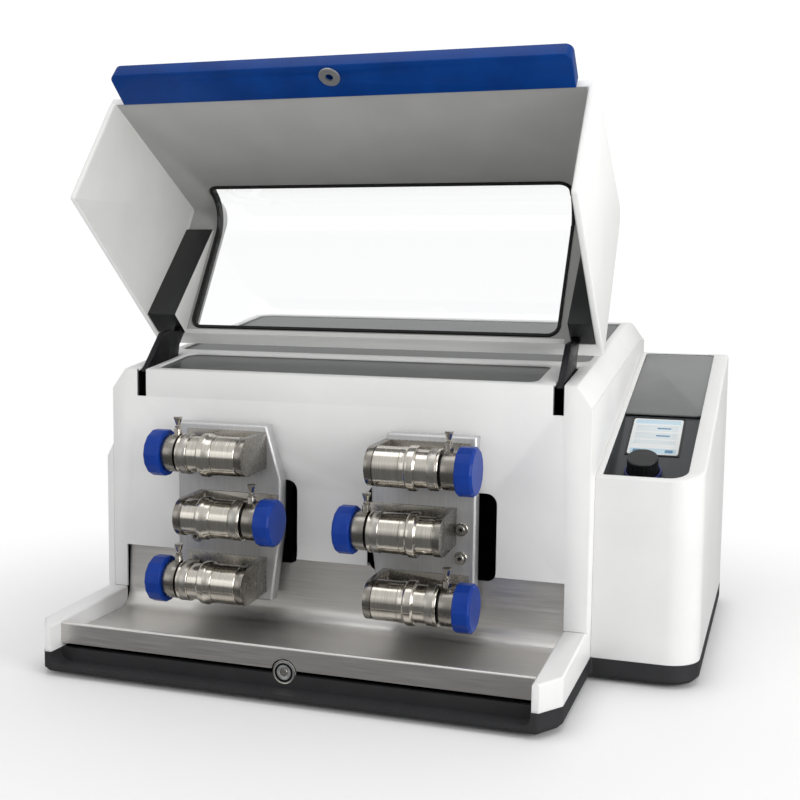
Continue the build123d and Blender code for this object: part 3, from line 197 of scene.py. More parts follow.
white_powder = powder_coat("white_powder_coat", "#eaeaea", "#efefee", 0.36)
# the lid's outside is a lighter copy of the cabinet's white: painted light where more light falls on the
# lid
painted_light_lid_white = powder_coat("painted_light_lid_coat", "#f1f1f0", "#f5f5f4", 0.4)
# darker copies of the white coat for the lid's inner skin and inner sides: painted shade
painted_shade_grey_liner = powder_coat("painted_shade_grey_liner_coat", "#a4a4a2", "#ababa9", 0.5)
painted_shade_pale_powder = powder_coat("painted_shade_pale_liner_coat", "#d8d9d6", "#dfdfdd", 0.45)
# a real dark coat on the top, front and rear plates; inside the cabinet the same colour is painted shade
dark_powder_and_painted_shade = powder_coat("dark_grey_coat_and_painted_shade", "#424446", "#47494b", 0.3)
cover_powder = powder_coat("grey_cover_coat", "#6c6d6e", "#727374", 0.24)
print("powder coats ready")

# %% [markdown]
# ## Moulded plastics and rubber
# The base pan and the arm covers are moulded ABS. Their tools are spark eroded, which leaves a fine
# grain of about half a millimetre. The knobs are a smoother, deep blue polyamide. Seals and feet are
# rubber, which is nearly black and has almost no gloss.

# %% Moulded plastics and rubber


def moulded_plastic(name, dark, light, roughness, grain_mm, grain_depth_mm, specular=0.5):
    material, tree, shader = start_material(name, light, roughness, Specular_IOR_Level=specular)
    vary_colour(tree, shader, object_noise(tree, 25), dark, light)
    grain = object_noise(tree, grain_mm, detail=2.0)
    add_bump(tree, shader, grain.outputs["Fac"], grain_depth_mm, 0.4)
    return material


pan_plastic = moulded_plastic("anthracite_abs", "#2d2d2f", "#323234", 0.5, 0.6, 0.04, 0.35)
black_plastic = moulded_plastic("black_abs", "#18191a", "#1d1e1f", 0.45, 0.5, 0.03)
blue_plastic = moulded_plastic("blue_polyamide", "#073288", "#093a96", 0.36, 0.8, 0.02, 0.22)
ring_plastic = moulded_plastic("violet_blue_polyamide", "#1c2266", "#222a78", 0.3, 0.8, 0.02)
# black rubber is real on the feet and seals; behind the rear slots it is painted shade
seal_rubber_and_painted_shade = moulded_plastic("black_rubber_and_painted_shade", "#121213", "#18181a", 0.7, 0.8, 0.03)
panel_plastic = moulded_plastic("dark_panel_film", "#33363a", "#383b3f", 0.22, 1.5, 0.005)
circuit_green = moulded_plastic("solder_mask", "#14532d", "#1a6437", 0.4, 2.0, 0.02)
print("plastics ready")

# %% [markdown]
# ## Blue lacquer
# The handle bar is an aluminium bar in a glossy blue lacquer. A clear coat over a saturated base gives
# the bright highlight along its rounded edge.

# %% Blue lacquer
blue_lacquer, lacquer_tree, lacquer_shader = start_material(
    "blue_lacquer", "#00377e", 0.4, Specular_IOR_Level=0.1, Coat_Weight=0.08, Coat_Roughness=0.15
)
vary_colour(lacquer_tree, lacquer_shader, object_noise(lacquer_tree, 40), "#003378", "#003c88")
lacquer_peel = object_noise(lacquer_tree, 1.5, detail=1.0)
add_bump(lacquer_tree, lacquer_shader, lacquer_peel.outputs["Fac"], 0.01, 0.2)
print("lacquer ready")

# %% [markdown]
# ## Bare metals
# The tray is brushed stainless steel, with scratches along its length: a noise that is stretched along
# X. The jars are turned on a lathe and polished, so their marks run round the jar, which means a noise
# that changes only along X. Plates and cradles are ground, and the rocker arms are cast aluminium.

# %% Bare metals


def brushed_metal(name, dark, light, low, high, grain_mm, stretch, depth_mm, strength=0.3):
    material, tree, shader = start_material(name, light, low, metallic=1.0)
    lines = object_noise(tree, grain_mm, stretch, detail=4.0)
    vary_colour(tree, shader, lines, dark, light)
    vary_roughness(tree, shader, lines, low, high)
    add_bump(tree, shader, lines.outputs["Fac"], depth_mm, strength)
    return material


tray_steel = brushed_metal("brushed_stainless", "#cfcdca", "#dddbd8", 0.34, 0.5, 1.2, (0.02, 1, 1), 0.02)
jar_steel = brushed_metal("turned_stainless", "#c6c1b8", "#d8d3ca", 0.12, 0.24, 1.0, (1, 0.03, 0.03), 0.012)
# the cradles are darker than bare steel: painted shade for the gap between the jars and the plate
painted_shade_cradle_metal = brushed_metal(
    "ground_painted_shade_cradle_metal", "#8f8b85", "#9a968f", 0.24, 0.3, 0.8, (1, 0.2, 0.2), 0.004, 0.1
)
satin_steel = brushed_metal("satin_stainless", "#b2afa9", "#c2bfb9", 0.28, 0.4, 0.8, (1, 0.2, 0.2), 0.012)
plate_steel = brushed_metal("ground_steel", "#cbcbcc", "#d8d8d9", 0.45, 0.58, 1.2, (0.6, 1, 0.05), 0.015)
cast_alloy = brushed_metal("cast_aluminium", "#9c9da0", "#b0b1b4", 0.4, 0.55, 3.0, (1, 1, 1), 0.06)
# blackened steel is real on the brackets, lid arms and motor; in the screw sockets it is painted shade
dark_steel_and_painted_shade = brushed_metal("blackened_metal_and_painted_shade", "#2a2a2c", "#38383a", 0.3, 0.42, 1.2, (1, 0.1, 0.1), 0.015)
print("metals ready")

# %% [markdown]
# ## Clear sheet and display
# The window is bent polycarbonate, clear with a trace of grey. The display is a pale screen behind
# glass, so it only needs a bright base under a glossy coat.

# %% Clear sheet and display
window_clear = start_material(
    "clear_polycarbonate", "#fbfcfc", 0.02, Transmission_Weight=1.0, IOR=1.45
)[0]
screen_glass, screen_tree, screen_shader = start_material(
    "display_glass", "#eceeee", 0.12, Coat_Weight=0.6, Coat_Roughness=0.05
)
vary_colour(screen_tree, screen_shader, object_noise(screen_tree, 30), "#e6eaea", "#f0f2f2")
print("clear materials ready")

# %% [markdown]
# ## Finishes on the frame
# Each part that is already right in shape only gets its material. The table says which finish belongs
# to which parts.

# %% Finishes on the frame
SIDES = ("left", "right")
LEVELS = ("upper", "middle", "lower")
finish_of = {
    "base_pan": pan_plastic,
    "rubber_feet": seal_rubber_and_painted_shade,
    "left_side_cover": white_powder,
    "right_side_cover": white_powder,
    "front_wall": white_powder,
    "rear_hood": white_powder,
    "front_top_plate": dark_powder_and_painted_shade,
    "top_panel": dark_powder_and_painted_shade,
    "rear_panel": dark_powder_and_painted_shade,
    "mains_inlet": black_plastic,
    "power_switch": black_plastic,
    "fan_frame": black_plastic,
    "fan_rotor": black_plastic,
    "control_housing": white_powder,
    "control_cover": cover_powder,
    "control_panel": panel_plastic,
    "display": screen_glass,
    "knob_ring": ring_plastic,
    "knob_shaft": jar_steel,
    "knob_cap": black_plastic,
    "control_board": circuit_green,
    "chamber_tray": tray_steel,
    "latch_housing": plate_steel,
    "latch_plunger": satin_steel,
    "drive_frame": cast_alloy,
    "rocker_shafts": plate_steel,
    "drive_motor": dark_steel_and_painted_shade,
    "crankshaft": plate_steel,
    "hinge_brackets": dark_steel_and_painted_shade,
    "lid_shell": painted_light_lid_white,
    "lid_window": window_clear,
    "window_gasket": seal_rubber_and_painted_shade,
    "handle_bar": blue_lacquer,
    "lock_stud": plate_steel,
    "lid_arms": dark_steel_and_painted_shade,
    "arm_covers": black_plastic,
}
for side in SIDES:
    finish_of[f"rocker_arm_{side}"] = cast_alloy
    finish_of[f"rocker_plate_{side}"] = plate_steel
    finish_of[f"cradles_{side}"] = painted_shade_cradle_metal
    for level in LEVELS:
        finish_of[f"grinding_jar_{side}_{level}"] = jar_steel
        finish_of[f"clamp_knob_{side}_{level}"] = blue_plastic
        finish_of[f"lock_pin_{side}_{level}"] = jar_steel


def give_finish(piece, material):
    piece.data.materials.clear()
    piece.data.materials.append(material)


for node_name, material in finish_of.items():
    give_finish(frame["nodes"][node_name], material)
print("finished", len(finish_of), "parts")

# %% [markdown]
# ## Rounded edges
# Real sheet is folded over a tool and real castings have radii, so no edge is perfectly sharp. An edge
# without a radius catches no light and looks like paper. We copy the mesh of a part, weld its loose
# triangles, melt flat areas into single faces and round what is left with a bevel, whose width the
# table gives in millimetres. The copy then stands for the part.

# %% Rounded edges
WELD = 0.00002  # points nearer to each other than this, in metres, become one
# in degrees: sharper edges get a bevel, and flatter ones are shaded as one surface
BEVEL_ANGLE = 32
SMOOTH_ANGLE = 35


def pick_only(piece):
    bpy.ops.object.select_all(action="DESELECT")
    piece.select_set(True)
    bpy.context.view_layer.objects.active = piece


def body_of_node(node_name):
    for body, members in frame["record"]["behaviour"]["bodies"].items():
        if node_name in members:
            return body
    return None


def rounded_copy(node_name, width_mm):
    angle, smooth = BEVEL_ANGLE, SMOOTH_ANGLE
    if node_name.startswith("clamp_knob"):
        # the flats of a clamp knob meet at a shallow angle
        angle, smooth = 20, 14
    source = frame["nodes"][node_name]
    piece = source.copy()
    piece.data = source.data.copy()
    piece.name = f"{node_name}_rounded"
    bpy.context.collection.objects.link(piece)
    pick_only(piece)
    bpy.ops.object.mode_set(mode="EDIT")
    bpy.ops.mesh.select_all(action="SELECT")
    bpy.ops.mesh.remove_doubles(threshold=WELD)
    bpy.ops.mesh.dissolve_limited(angle_limit=math.radians(0.5))
    bpy.ops.object.mode_set(mode="OBJECT")
    bevel = piece.modifiers.new("edge", "BEVEL")
    bevel.width = width_mm * MM
    bevel.segments = 2
    bevel.limit_method = "ANGLE"
    bevel.angle_limit = math.radians(angle)
    bevel.use_clamp_overlap = True
    bevel.miter_outer = "MITER_ARC"
    bpy.ops.object.modifier_apply(modifier=bevel.name)
    bpy.ops.object.shade_smooth_by_angle(angle=math.radians(smooth))
    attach(piece, body_of_node(node_name))
    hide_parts(node_name)
    return piece


edge_width = {
    "front_wall": 0.8,
    "rear_hood": 1.2,
    "left_side_cover": 1.2,
    "right_side_cover": 1.2,
    "control_housing": 1.0,
    "control_cover": 0.6,
    "lid_shell": 1.5,
    "handle_bar": 1.2,
    "rocker_plate_left": 0.6,
    "rocker_plate_right": 0.6,
    "cradles_left": 0.6,
    "cradles_right": 0.6,
    "arm_covers": 1.5,
    "lid_arms": 0.6,
    "latch_housing": 0.3,
    "knob_cap": 0.3,
}
for side in SIDES:
    for level in LEVELS:
        edge_width[f"clamp_knob_{side}_{level}"] = 0.5
rounded = {name: rounded_copy(name, width) for name, width in edge_width.items()}
for name, piece in rounded.items():
    print(name, len(piece.data.polygons), "faces")

# %% [markdown]
# ## Painted shade inside the lid and the cabinet
# The lid's outside is white, while its inner skin is painted a darker grey and its inner sides a pale grey:
# both greys are painted shade. The inside of the cabinet is painted dark as painted shade, so that its
# slots look black, and the necks of the clamp knobs are black too. A face is sorted by its middle and by
# the way it points, with the lid's faces turned back to where they are when it is closed.

# %% Painted shade inside the lid and the cabinet
JAR_HEIGHTS = {"upper": 236.7, "middle": 167.0, "lower": 94.7}
JAR_SPAN = 116.0  # from a jar's closed end to the end of its clamp knob
JAR_REACH = {"upper": 69.5, "middle": 80.5, "lower": 69.5}  # how much of it lies beyond the pivot
PIVOT_OFF = 116.0  # from the mill's middle to a rocker's pivot
JAR_Y = 88.0
PLATE_Y = 134.0
# limits in millimetres by which faces are sorted
KNOB_NECK_END = 96.9
LID_SKIN_HALF = 273.8
LID_SIDE_INNER = (273, 275.5)
LID_SKIN_LOWEST = 255
LID_NOSE_END = 20
LEFT_COVER_INNER = (50, 54)
ARM_SLOT_SIDES = (241, 253)
ARM_SLOT_LOWEST = 285
CHAMBER_END = 165


def side_way(side):
    return -1 if side == "left" else 1


def aimed(at, direction):
    # a place whose Z axis points along a direction
    turn = Vector(direction).normalized().to_track_quat("Z", "Y")
    return Matrix.Translation(at) @ turn.to_matrix().to_4x4()


def station_place(side, level, along):
    # a place on a jar's axis, so many millimetres from its closed end, pointing to its clamp knob
    way = -side_way(side) if level == "middle" else side_way(side)
    x = MILL_MID + side_way(side) * PIVOT_OFF + way * (JAR_REACH[level] - JAR_SPAN + along)
    return aimed(place(x, JAR_Y, JAR_HEIGHTS[level]), (way, 0, 0))


def closed_yz(vector, is_point):
    # a place or a direction on the open lid, turned back to the closed lid, in millimetres
    y, z = vector.y, vector.z
    if is_point:
        y, z = y / MM - FRONT - HINGE[0], z / MM - HINGE[1]
    turn_cos, turn_sin = math.cos(LID_OPEN), math.sin(LID_OPEN)
    y, z = y * turn_cos - z * turn_sin, y * turn_sin + z * turn_cos
    return (y + HINGE[0], z + HINGE[1]) if is_point else (y, z)


def coat_faces(piece, material, wanted):
    piece.data.materials.append(material)
    index = len(piece.data.materials) - 1
    count = 0
    for face in piece.data.polygons:
        if wanted(face):
            face.material_index = index
            count += 1
    print(piece.name, count, "faces in", material.name)


def between(value, limits):
    return limits[0] < value < limits[1]


def x_mm(face):
    return face.center.x / MM - LEFT


def in_lid_skin(face):
    y, z = closed_yz(face.center, True)
    to_rear, upward = closed_yz(face.normal, False)
    from_below = upward < -0.6 and z > LID_SKIN_LOWEST
    in_nose = to_rear > 0.6 and y < LID_NOSE_END
    return abs(x_mm(face) - LID_MID) < LID_SKIN_HALF and (from_below or in_nose)


def in_lid_side(face):
    off_middle = x_mm(face) - LID_MID
    return between(abs(off_middle), LID_SIDE_INNER) and face.normal.x * off_middle < -0.5


def in_arm_slot(face):
    at_slot = between(abs(x_mm(face) - ARM_MID), ARM_SLOT_SIDES) and face.center.z > ARM_SLOT_LOWEST * MM
    return at_slot and abs(face.normal.x) > 0.3


# painted shade: the lid's inner skin turns a darker grey and its inner sides a pale grey
coat_faces(rounded["lid_shell"], painted_shade_grey_liner, in_lid_skin)
coat_faces(rounded["lid_shell"], painted_shade_pale_powder, in_lid_side)
for side in SIDES:
    for level in LEVELS:
        to_jar = station_place(side, level, 0).inverted()
        coat_faces(
            rounded[f"clamp_knob_{side}_{level}"],
            black_plastic,
            lambda face, to_jar=to_jar: (to_jar @ face.center).z < KNOB_NECK_END * MM,
        )
# painted shade: the underside of the hood and the back of the front wall are painted dark
coat_faces(rounded["rear_hood"], dark_powder_and_painted_shade, lambda face: face.normal.z < -0.5)
coat_faces(rounded["front_wall"], dark_powder_and_painted_shade, lambda face: face.normal.y > 0.5)
coat_faces(
    rounded["arm_covers"],
    painted_shade_pale_powder,
    lambda face: face.normal.x > 0.9 and between(x_mm(face), LEFT_COVER_INNER),
)
# painted shade: the sides of the arm slots in the front wall are painted dark
coat_faces(rounded["front_wall"], dark_powder_and_painted_shade, in_arm_slot)
# painted shade: the inner faces of the side covers behind the chamber are painted dark
for side in SIDES:
    coat_faces(
        rounded[f"{side}_side_cover"],
        dark_powder_and_painted_shade,
        lambda face, way=side_way(side): face.normal.x * way < -0.5
        and face.center.y / MM - FRONT > CHAMBER_END,
    )

# %% [markdown]
# ## Tools for small pieces
# Screws, rings and pins are turned parts, so one function spins a half section about an axis, just as a
# lathe does. A second one makes flat marks and strips from a cube whose corners are rounded in edit mode.
# Each small piece rides on the body of the part that it sits on.

# %% Tools for small pieces


def hand_over(piece, material, node_name):
    give_finish(piece, material)
    pick_only(piece)
    bpy.ops.object.shade_smooth_by_angle(angle=math.radians(SMOOTH_ANGLE))
    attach(piece, body_of_node(node_name))
    return piece


def turned(name, half_section, matrix, material, node_name, steps=48, hexagon=0.0, knurl=0.0):
    # half_section lists radius and height in millimetres, hexagon is the radius below which the
    # surface becomes a hexagonal socket, and knurl is the depth of grooves cut into the widest part
    mesh = bpy.data.meshes.new(name)
    points = [(radius * MM, 0, height * MM) for radius, height in half_section]
    links = [(i, i + 1) for i in range(len(points) - 1)]
    if half_section[0][0] > 0:
        links.append((len(points) - 1, 0))
    mesh.from_pydata(points, links, [])
    piece = bpy.data.objects.new(name, mesh)
    bpy.context.collection.objects.link(piece)
    pick_only(piece)
    bpy.ops.object.mode_set(mode="EDIT")
    bpy.ops.mesh.select_all(action="SELECT")
    bpy.ops.mesh.spin(steps=steps, angle=math.tau, center=(0, 0, 0), axis=(0, 0, 1))
    bpy.ops.mesh.select_all(action="SELECT")
    bpy.ops.mesh.remove_doubles(threshold=0.000005)
    bpy.ops.mesh.normals_make_consistent(inside=False)
    bpy.ops.object.mode_set(mode="OBJECT")
    widest = max(radius for radius, _ in half_section)
    for vertex in piece.data.vertices:
        radius = math.hypot(vertex.co.x, vertex.co.y) / MM
        angle = math.atan2(vertex.co.y, vertex.co.x)
        factor = 1.0
        if 0.001 < radius <= hexagon:
            factor = 0.9 / math.cos((angle + math.pi / 6) % (math.pi / 3) - math.pi / 6)
        if knurl and radius > widest - 0.01 and round(angle / math.tau * steps) % 2:
            factor = (widest - knurl) / widest
        vertex.co.x *= factor
        vertex.co.y *= factor
    piece.data.transform(matrix)
    return hand_over(piece, material, node_name)


def flat_piece(name, width, height, thick, corner, matrix, material, node_name):
    # a thin plate with rounded corners, its upper face at the place's origin, sizes in millimetres
    bpy.ops.object.select_all(action="DESELECT")
    bpy.ops.mesh.primitive_cube_add(size=1.0, location=(0, 0, 0))
    piece = bpy.context.object
    piece.name = name
    lowered = Matrix.Translation((0, 0, -thick * MM / 2))
    piece.data.transform(lowered @ Matrix.Diagonal((width * MM, height * MM, thick * MM, 1)))
    bpy.ops.object.mode_set(mode="EDIT")
    bpy.ops.mesh.select_all(action="DESELECT")
    bpy.ops.object.mode_set(mode="OBJECT")
    for edge in piece.data.edges:
        start, end = (piece.data.vertices[i].co for i in edge.vertices)
        edge.select = abs(start.z - end.z) > thick * MM * 0.5
    bpy.ops.object.mode_set(mode="EDIT")
    bpy.ops.mesh.select_mode(type="EDGE")
    bpy.ops.mesh.bevel(offset=corner * MM, segments=5, affect="EDGES")
    bpy.ops.object.mode_set(mode="OBJECT")
    edge_round = piece.modifiers.new("edge", "BEVEL")
    edge_round.width = min(thick, corner) * 0.25 * MM
    edge_round.segments = 2
    edge_round.limit_method = "ANGLE"
    bpy.ops.object.modifier_apply(modifier=edge_round.name)
    piece.data.transform(matrix)
    return hand_over(piece, material, node_name)


def socket_section(head_r, head_h):
    # a cap screw with a socket in its head
    socket_r = head_r * 0.52
    return [
        (0, head_h * 0.4),
        (socket_r, head_h * 0.4),
        (socket_r, head_h),
        (head_r - 0.5, head_h),
        (head_r, head_h - 0.5),
        (head_r, 1.2),
        (head_r - 0.5, -0.5),
        (0, -0.5),
    ]


print("tools ready")

# %% [markdown]
# ## Jars and cap screws at the rockers
# Each jar is spun from its half section, with the small radii that a turning tool leaves, and stands for
# the plain one. Its cap has a knurled grip: on the lathe a wheel presses grooves into the ring, so every
# second column of points is drawn in a little. Two cap screws with washers hold each face plate.

# %% Jars and cap screws at the rockers
# half sections list the radius and the distance from the jar's closed end
knurl_section = [(20.5, 66.9), (21.5, 66.9), (21.9, 67.3), (21.9, 75.0), (21.5, 75.4), (20.5, 75.4)]
foot_of_jar = [(0, 7.8), (19.5, 7.8), (19.5, 8.9)]
cap_of_jar = [
    (21.1, 66.5),
    (21.4, 66.8),
    (21.4, 75.7),
    (21.8, 75.7),
    (22.0, 76.0),
    (22.0, 78.6),
    (21.6, 79.0),
    (18.6, 79.0),
    (0, 79.0),
]
outer_jar = [
    *foot_of_jar,
    (21.0, 8.9),
    (21.4, 9.3),
    (21.4, 36.5),
    (21.2, 36.7),
    (20.9, 36.75),
    (20.9, 37.05),
    (21.6, 37.1),
    (21.9, 37.4),
    (21.9, 42.6),
    (22.1, 43.2),
    (23.3, 44.6),
    (23.7, 45.2),
    (23.8, 46.0),
    (23.8, 51.2),
    (23.6, 52.0),
    (23.0, 53.0),
    (22.4, 53.6),
    (20.3, 53.7),
    (19.9, 54.1),
    (19.9, 66.5),
    *cap_of_jar,
]
middle_jar = [
    *foot_of_jar,
    (19.9, 9.2),
    (19.9, 26.1),
    (20.3, 26.5),
    (22.4, 26.6),
    (23.2, 27.4),
    (23.8, 28.6),
    (23.8, 34.8),
    (23.5, 35.5),
    (22.2, 36.9),
    (21.9, 37.6),
    (21.9, 42.8),
    (21.6, 43.1),
    (20.9, 43.15),
    (20.9, 43.7),
    (21.1, 43.8),
    (21.4, 44.1),
    (21.4, 65.8),
    (21.1, 66.0),
    (20.9, 66.1),
    *cap_of_jar,
]
washer_section = [(5.6, -0.3), (5.6, 1.2), (5.9, 1.5), (7.0, 1.5), (7.3, 1.2), (7.3, -0.3)]
screw_section = socket_section(4.9, 5.6)
# a dark hexagon at the bottom of each plate screw's socket is painted shade in the recess
socket_shade_disc = [(0, 2.6), (2.2, 2.6), (2.2, 2.2), (0, 2.2)]
PLATE_SCREWS = ((157.0, 166.3), (156.4, 135.1))  # distance from the mill's middle, and height
for side in SIDES:
    for level in LEVELS:
        jar_section = middle_jar if level == "middle" else outer_jar
        jar_node = f"grinding_jar_{side}_{level}"
        spot = station_place(side, level, 0)
        vessel = turned(f"{jar_node}_turned", jar_section, spot, jar_steel, jar_node, steps=96)
        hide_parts(jar_node)
        ring_name = f"knurl_{side}_{level}"
        turned(ring_name, knurl_section, spot, satin_steel, jar_node, steps=120, knurl=0.4)
    carrier = f"rocker_plate_{side}"
    for number, (off, height) in enumerate(PLATE_SCREWS):
        spot = aimed(place(MILL_MID + side_way(side) * off, PLATE_Y, height), (0, -1, 0))
        end = f"{side}_{number}"
        turned(f"plate_washer_{end}", washer_section, spot, jar_steel, carrier)
        turned(f"plate_screw_{end}", screw_section, spot, satin_steel, carrier, hexagon=2.6)
        turned(f"plate_socket_shade_{end}", socket_shade_disc, spot, dark_steel_and_painted_shade, carrier, steps=6)
print("rocker pieces ready")

# %% [markdown]
# ## Lock, strip and knob foot
# The lid lock is a ground disc with a bright rim and a dark inner ring. A pale strip runs along the rear
# of the lid's inner skin, under the window, and the turning knob stands on a thin dark foot.

# %% Lock, strip and knob foot
lock_place = aimed(place(289.9, 19.4, 28.1), (0, -1, 0))
rim_section = [(11.2, -0.3), (11.2, 0.15), (11.5, 0.35), (12.1, 0.35), (12.4, 0.1), (12.4, -0.3)]
inner_ring_section = [(7.8, -0.3), (7.8, 0.2), (10.0, 0.2), (10.0, -0.3)]
turned("lock_rim", rim_section, lock_place, jar_steel, "latch_housing")
turned("lock_inner_ring", inner_ring_section, lock_place, dark_steel_and_painted_shade, "latch_housing")
# two points of the closed lid's inner skin, seen from the side
SKIN_FRONT = (-26.5, 271.0)
SKIN_REAR = (154.5, 302.8)
SKIN_SLOPE = (SKIN_REAR[1] - SKIN_FRONT[1]) / (SKIN_REAR[0] - SKIN_FRONT[0])
STRIP_Y = 151.2
STRIP_THICK = 0.8
strip_z = SKIN_FRONT[1] + (STRIP_Y - SKIN_FRONT[0]) * SKIN_SLOPE - STRIP_THICK / 2
strip_up = lid_place(0, HINGE[0] - SKIN_SLOPE * 10, HINGE[1] + 10) - lid_place(0, *HINGE)
strip_place = aimed(lid_place(LID_MID, STRIP_Y, strip_z), -strip_up)
flat_piece("lid_rear_strip", 478, 6.2, STRIP_THICK, 0.3, strip_place, painted_shade_pale_powder, "lid_shell")
PANEL_SLOPE = 0.47
PANEL_START = (364, 272)
PANEL_TILT = math.atan(PANEL_SLOPE)
KNOB_SPOT = (620, 247)
panel_up = Vector((0, -math.sin(PANEL_TILT), math.cos(PANEL_TILT)))
panel_along = Vector((0, math.cos(PANEL_TILT), math.sin(PANEL_TILT)))


def on_panel(x, y, right_mm, along_mm, lift_mm):
    # a place on the sunken control panel: Z stands up from it and Y climbs along it
    z = PANEL_START[1] + PANEL_SLOPE * (y - PANEL_START[0])
    at = place(x + right_mm, y, z) + panel_along * along_mm * MM + panel_up * lift_mm * MM
    turn = Matrix((Vector((1, 0, 0)), panel_along, panel_up)).transposed()
    return Matrix.Translation(at) @ turn.to_4x4()


foot_section = [(17.6, 0), (22.6, 0), (22.6, 0.5), (22.2, 0.9), (17.6, 0.9)]
foot_place = on_panel(*KNOB_SPOT, 0, 0, 0)
turned("knob_foot", foot_section, foot_place, black_plastic, "control_panel", steps=72)
print("lock, strip and foot ready")

# %% [markdown]
# ## Marks on the display
# The screen shows a pale page between two light blue bands, with a few soft fields. They are plain
# shapes without words. A narrow dark frame sets the glass into the panel.

# %% Marks on the display
SCREEN_SPOT = (624.5, 321.5)
FIELD_LIFT = 1.06
MARK_LIFT = 1.1
screen_blue = start_material("screen_blue", "#c3dbe8", 0.15)[0]
screen_field = start_material("screen_field", "#d9e1e4", 0.15)[0]
screen_mark = start_material("screen_mark", "#5f8fb4", 0.15)[0]
# name, width, height, how far to the right and how far up from the middle, and colour
screen_marks = [
    ("header", 52, 9, 0, 31.5, screen_blue),
    ("footer", 52, 10, 0, -31.0, screen_blue),
    ("field_upper", 48, 13, 0, 17.5, screen_field),
    ("field_middle", 48, 13, 0, 1.5, screen_field),
    ("field_lower", 48, 8, 0, -12.5, screen_field),
    ("start_key", 9, 6, -18, -31.0, screen_mark),
    ("menu_key", 9, 6, 18, -31.0, screen_mark),
    ("value_upper", 16, 3, 8, 17.5, screen_mark),
    ("value_middle", 16, 3, 8, 1.5, screen_mark),
]
for name, width, height, right_mm, along_mm, material in screen_marks:
    lift = MARK_LIFT if material == screen_mark else FIELD_LIFT
    spot = on_panel(*SCREEN_SPOT, right_mm, along_mm, lift)
    flat_piece(f"screen_{name}", width, height, 0.3, 1.0, spot, material, "display")
frame_marks = [(60, 2, 0, 39.2), (60, 2, 0, -39.2), (2, 80, 29.6, 0), (2, 80, -29.6, 0)]
for number, (width, height, right_mm, along_mm) in enumerate(frame_marks):
    spot = on_panel(*SCREEN_SPOT, right_mm, along_mm, 1.0)
    flat_piece(f"screen_edge_{number}", width, height, 1.2, 0.6, spot, black_plastic, "control_panel")
print("screen pieces:", len(screen_marks) + len(frame_marks))

# %% [markdown]
# ## Screws of the rear panel and painted shade behind its slots
# The rear panel is held with small socket screws, which nobody sees from the front but everybody who
# walks round the mill does. A black sheet behind its slots is painted shade for the dark inside of the
# cabinet: without it, daylight would show through the cabinet.

# %% Screws of the rear panel and painted shade behind its slots
REAR_SCREW_Y = 580.0
rear_screw_section = socket_section(3.4, 2.6)
rear_spots = [(24, 40), (290, 40), (560, 40), (24, 180), (560, 180), (24, 330), (290, 330), (560, 330)]
for number, (x, height) in enumerate(rear_spots):
    spot = aimed(place(x, REAR_SCREW_Y, height), (0, 1, 0))
    screw_name = f"rear_screw_{number}"
    turned(screw_name, rear_screw_section, spot, satin_steel, "rear_panel", steps=32, hexagon=1.8)
# painted shade: a black sheet behind the rear slots stands for the dark inside of the cabinet
vent_shade_place = aimed(place(380, 574.5, 255), (0, -1, 0))
flat_piece("painted_shade_vent_sheet", 272, 62, 2.4, 3, vent_shade_place, seal_rubber_and_painted_shade, "rear_panel")
print("rear screws:", len(rear_spots))

# %% [markdown]
# ## Camera
# The picture was taken from the front right, from a little above the cabinet's top. The place, the turn
# and the focal length were worked out from the cabinet's straight edges. The small roll keeps them matched.

# %% Camera
CAMERA_AT = place(771.37, -1071.73, 430.75)
YAW = math.radians(18.24)
PITCH = math.radians(5.80)
ROLL = math.radians(0.69)
LENS = 53.65

ahead = Vector((-math.sin(YAW) * math.cos(PITCH), math.cos(YAW) * math.cos(PITCH), -math.sin(PITCH)))
level_right = Vector((math.cos(YAW), math.sin(YAW), 0))
level_up = level_right.cross(ahead)
right = level_right * math.cos(ROLL) + level_up * math.sin(ROLL)
up = level_up * math.cos(ROLL) - level_right * math.sin(ROLL)
camera_data = bpy.data.cameras.new("camera")
camera_data.lens = LENS
camera_data.sensor_width = 36.0
camera = bpy.data.objects.new("camera", camera_data)
bpy.context.collection.objects.link(camera)
camera.matrix_world = Matrix(
    (
        (right.x, up.x, -ahead.x, CAMERA_AT.x),
        (right.y, up.y, -ahead.y, CAMERA_AT.y),
        (right.z, up.z, -ahead.z, CAMERA_AT.z),
        (0, 0, 0, 1),
    )
)
bpy.context.scene.camera = camera
print("camera at", camera.location)

# %% [markdown]
# ## Floor
# The mill stands on a pale floor. Away from the mill the floor fades into the white background, but only
# for the camera, and a polished surface sees it as a dim grey card, so that the steel keeps its contrast.

# %% Floor
FLOOR_BACK = 1.2
FADE_SPAN = (0.36, 0.85)
GREY_CARD = 0.16
bpy.ops.object.select_all(action="DESELECT")
bpy.ops.mesh.primitive_plane_add(size=8.0, location=(0, FLOOR_BACK, 0))
floor = bpy.context.object
floor.name = "floor"
floor_paint, floor_tree, floor_shader = start_material("pale_floor", "#fcfcfd", 0.6)
floor_place = add_node(floor_tree, "ShaderNodeTexCoord")
from_middle = add_node(
    floor_tree,
    "ShaderNodeVectorMath",
    {"operation": "DISTANCE"},
    {0: floor_place.outputs["Object"], 1: (0.0, -FLOOR_BACK, 0.0)},
)
fade = map_range(floor_tree, from_middle.outputs["Value"], FADE_SPAN, (0.0, 1.0), "SMOOTHSTEP")
paths = add_node(floor_tree, "ShaderNodeLightPath")
seen_far = add_node(
    floor_tree,
    "ShaderNodeMath",
    {"operation": "MULTIPLY"},
    {0: fade, 1: paths.outputs["Is Camera Ray"]},
)


def glow(tree, strength):
    inputs = {"Color": (1, 1, 1, 1), "Strength": strength}
    return add_node(tree, "ShaderNodeEmission", inputs=inputs).outputs["Emission"]


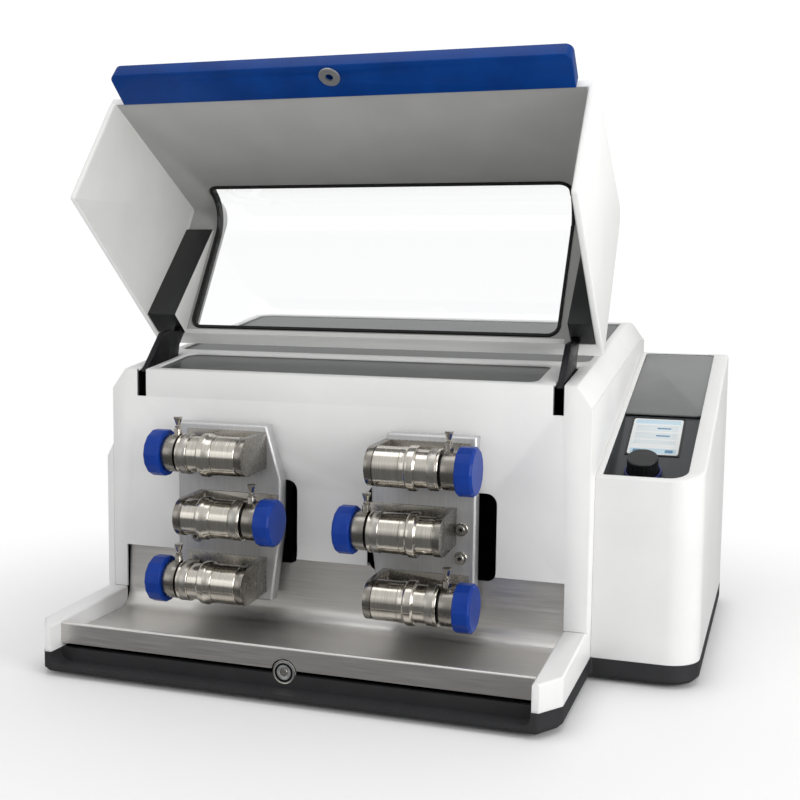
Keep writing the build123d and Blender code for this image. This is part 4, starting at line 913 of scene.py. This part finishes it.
def mix_shaders(tree, share, first, second):
    inputs = {0: share, 1: first, 2: second}
    return add_node(tree, "ShaderNodeMixShader", inputs=inputs).outputs["Shader"]


floor_mix = mix_shaders(
    floor_tree, seen_far.outputs["Value"], floor_shader.outputs["BSDF"], glow(floor_tree, 1.0)
)
mirror_mix = mix_shaders(
    floor_tree, paths.outputs["Is Glossy Ray"], floor_mix, glow(floor_tree, GREY_CARD)
)
floor_tree.links.new(mirror_mix, floor_tree.nodes["Material Output"].inputs["Surface"])
floor.data.materials.append(floor_paint)
print("floor laid")

# %% [markdown]
# ## Room light
# The world is white where the camera looks at it directly or through the window. Where it only lights
# the object it is a softer grey, and in reflections it is darker low down than overhead. Three large
# lamps give the form: one above, a weak one from the front left and the strongest one from the right.

# %% Room light
LIT_BY_ROOM = 0.6
SEEN_ROOM = 1.06
world = bpy.data.worlds.new("white_room")
bpy.context.scene.world = world
world.use_nodes = True
sky = world.node_tree
sky_paths = add_node(sky, "ShaderNodeLightPath")
seen = add_node(
    sky,
    "ShaderNodeMath",
    {"operation": "MAXIMUM"},
    {0: sky_paths.outputs["Is Camera Ray"], 1: sky_paths.outputs["Is Transmission Ray"]},
)
sky_way = add_node(sky, "ShaderNodeTexCoord")
sky_parts = add_node(sky, "ShaderNodeSeparateXYZ", inputs={0: sky_way.outputs["Generated"]})
# each step picks a strength: overhead or low down, in a reflection or not, seen or not
ceiling = map_range(sky, sky_parts.outputs["Z"], (0.0, 0.4), (0.36, 0.78))
mirrored = map_range(sky, sky_paths.outputs["Is Glossy Ray"], (0.0, 1.0), (LIT_BY_ROOM, ceiling))
room_strength = map_range(sky, seen.outputs["Value"], (0.0, 1.0), (mirrored, SEEN_ROOM))
background = sky.nodes["Background"]
background.inputs["Color"].default_value = (1, 1, 0.995, 1)
sky.links.new(room_strength, background.inputs["Strength"])


def soft_lamp(name, at, aim, size, watts):
    data = bpy.data.lights.new(name, "AREA")
    data.shape = "RECTANGLE"
    data.size, data.size_y = size
    data.energy = watts
    data.color = (1.0, 0.995, 0.985)
    lamp = bpy.data.objects.new(name, data)
    bpy.context.collection.objects.link(lamp)
    lamp.location = at
    lamp.rotation_euler = (Vector(aim) - Vector(at)).to_track_quat("-Z", "Y").to_euler()


soft_lamp("top_softbox", (0.0, -0.2, 2.4), (0, 0, 0.2), (2.2, 1.6), 15)
soft_lamp("front_left_softbox", (-1.6, -2.2, 0.9), (0, 0, 0.25), (1.4, 1.4), 4)
soft_lamp("right_softbox", (2.2, -1.0, 0.8), (0, 0, 0.25), (1.2, 1.2), 24)
bpy.context.scene.view_settings.view_transform = "Standard"
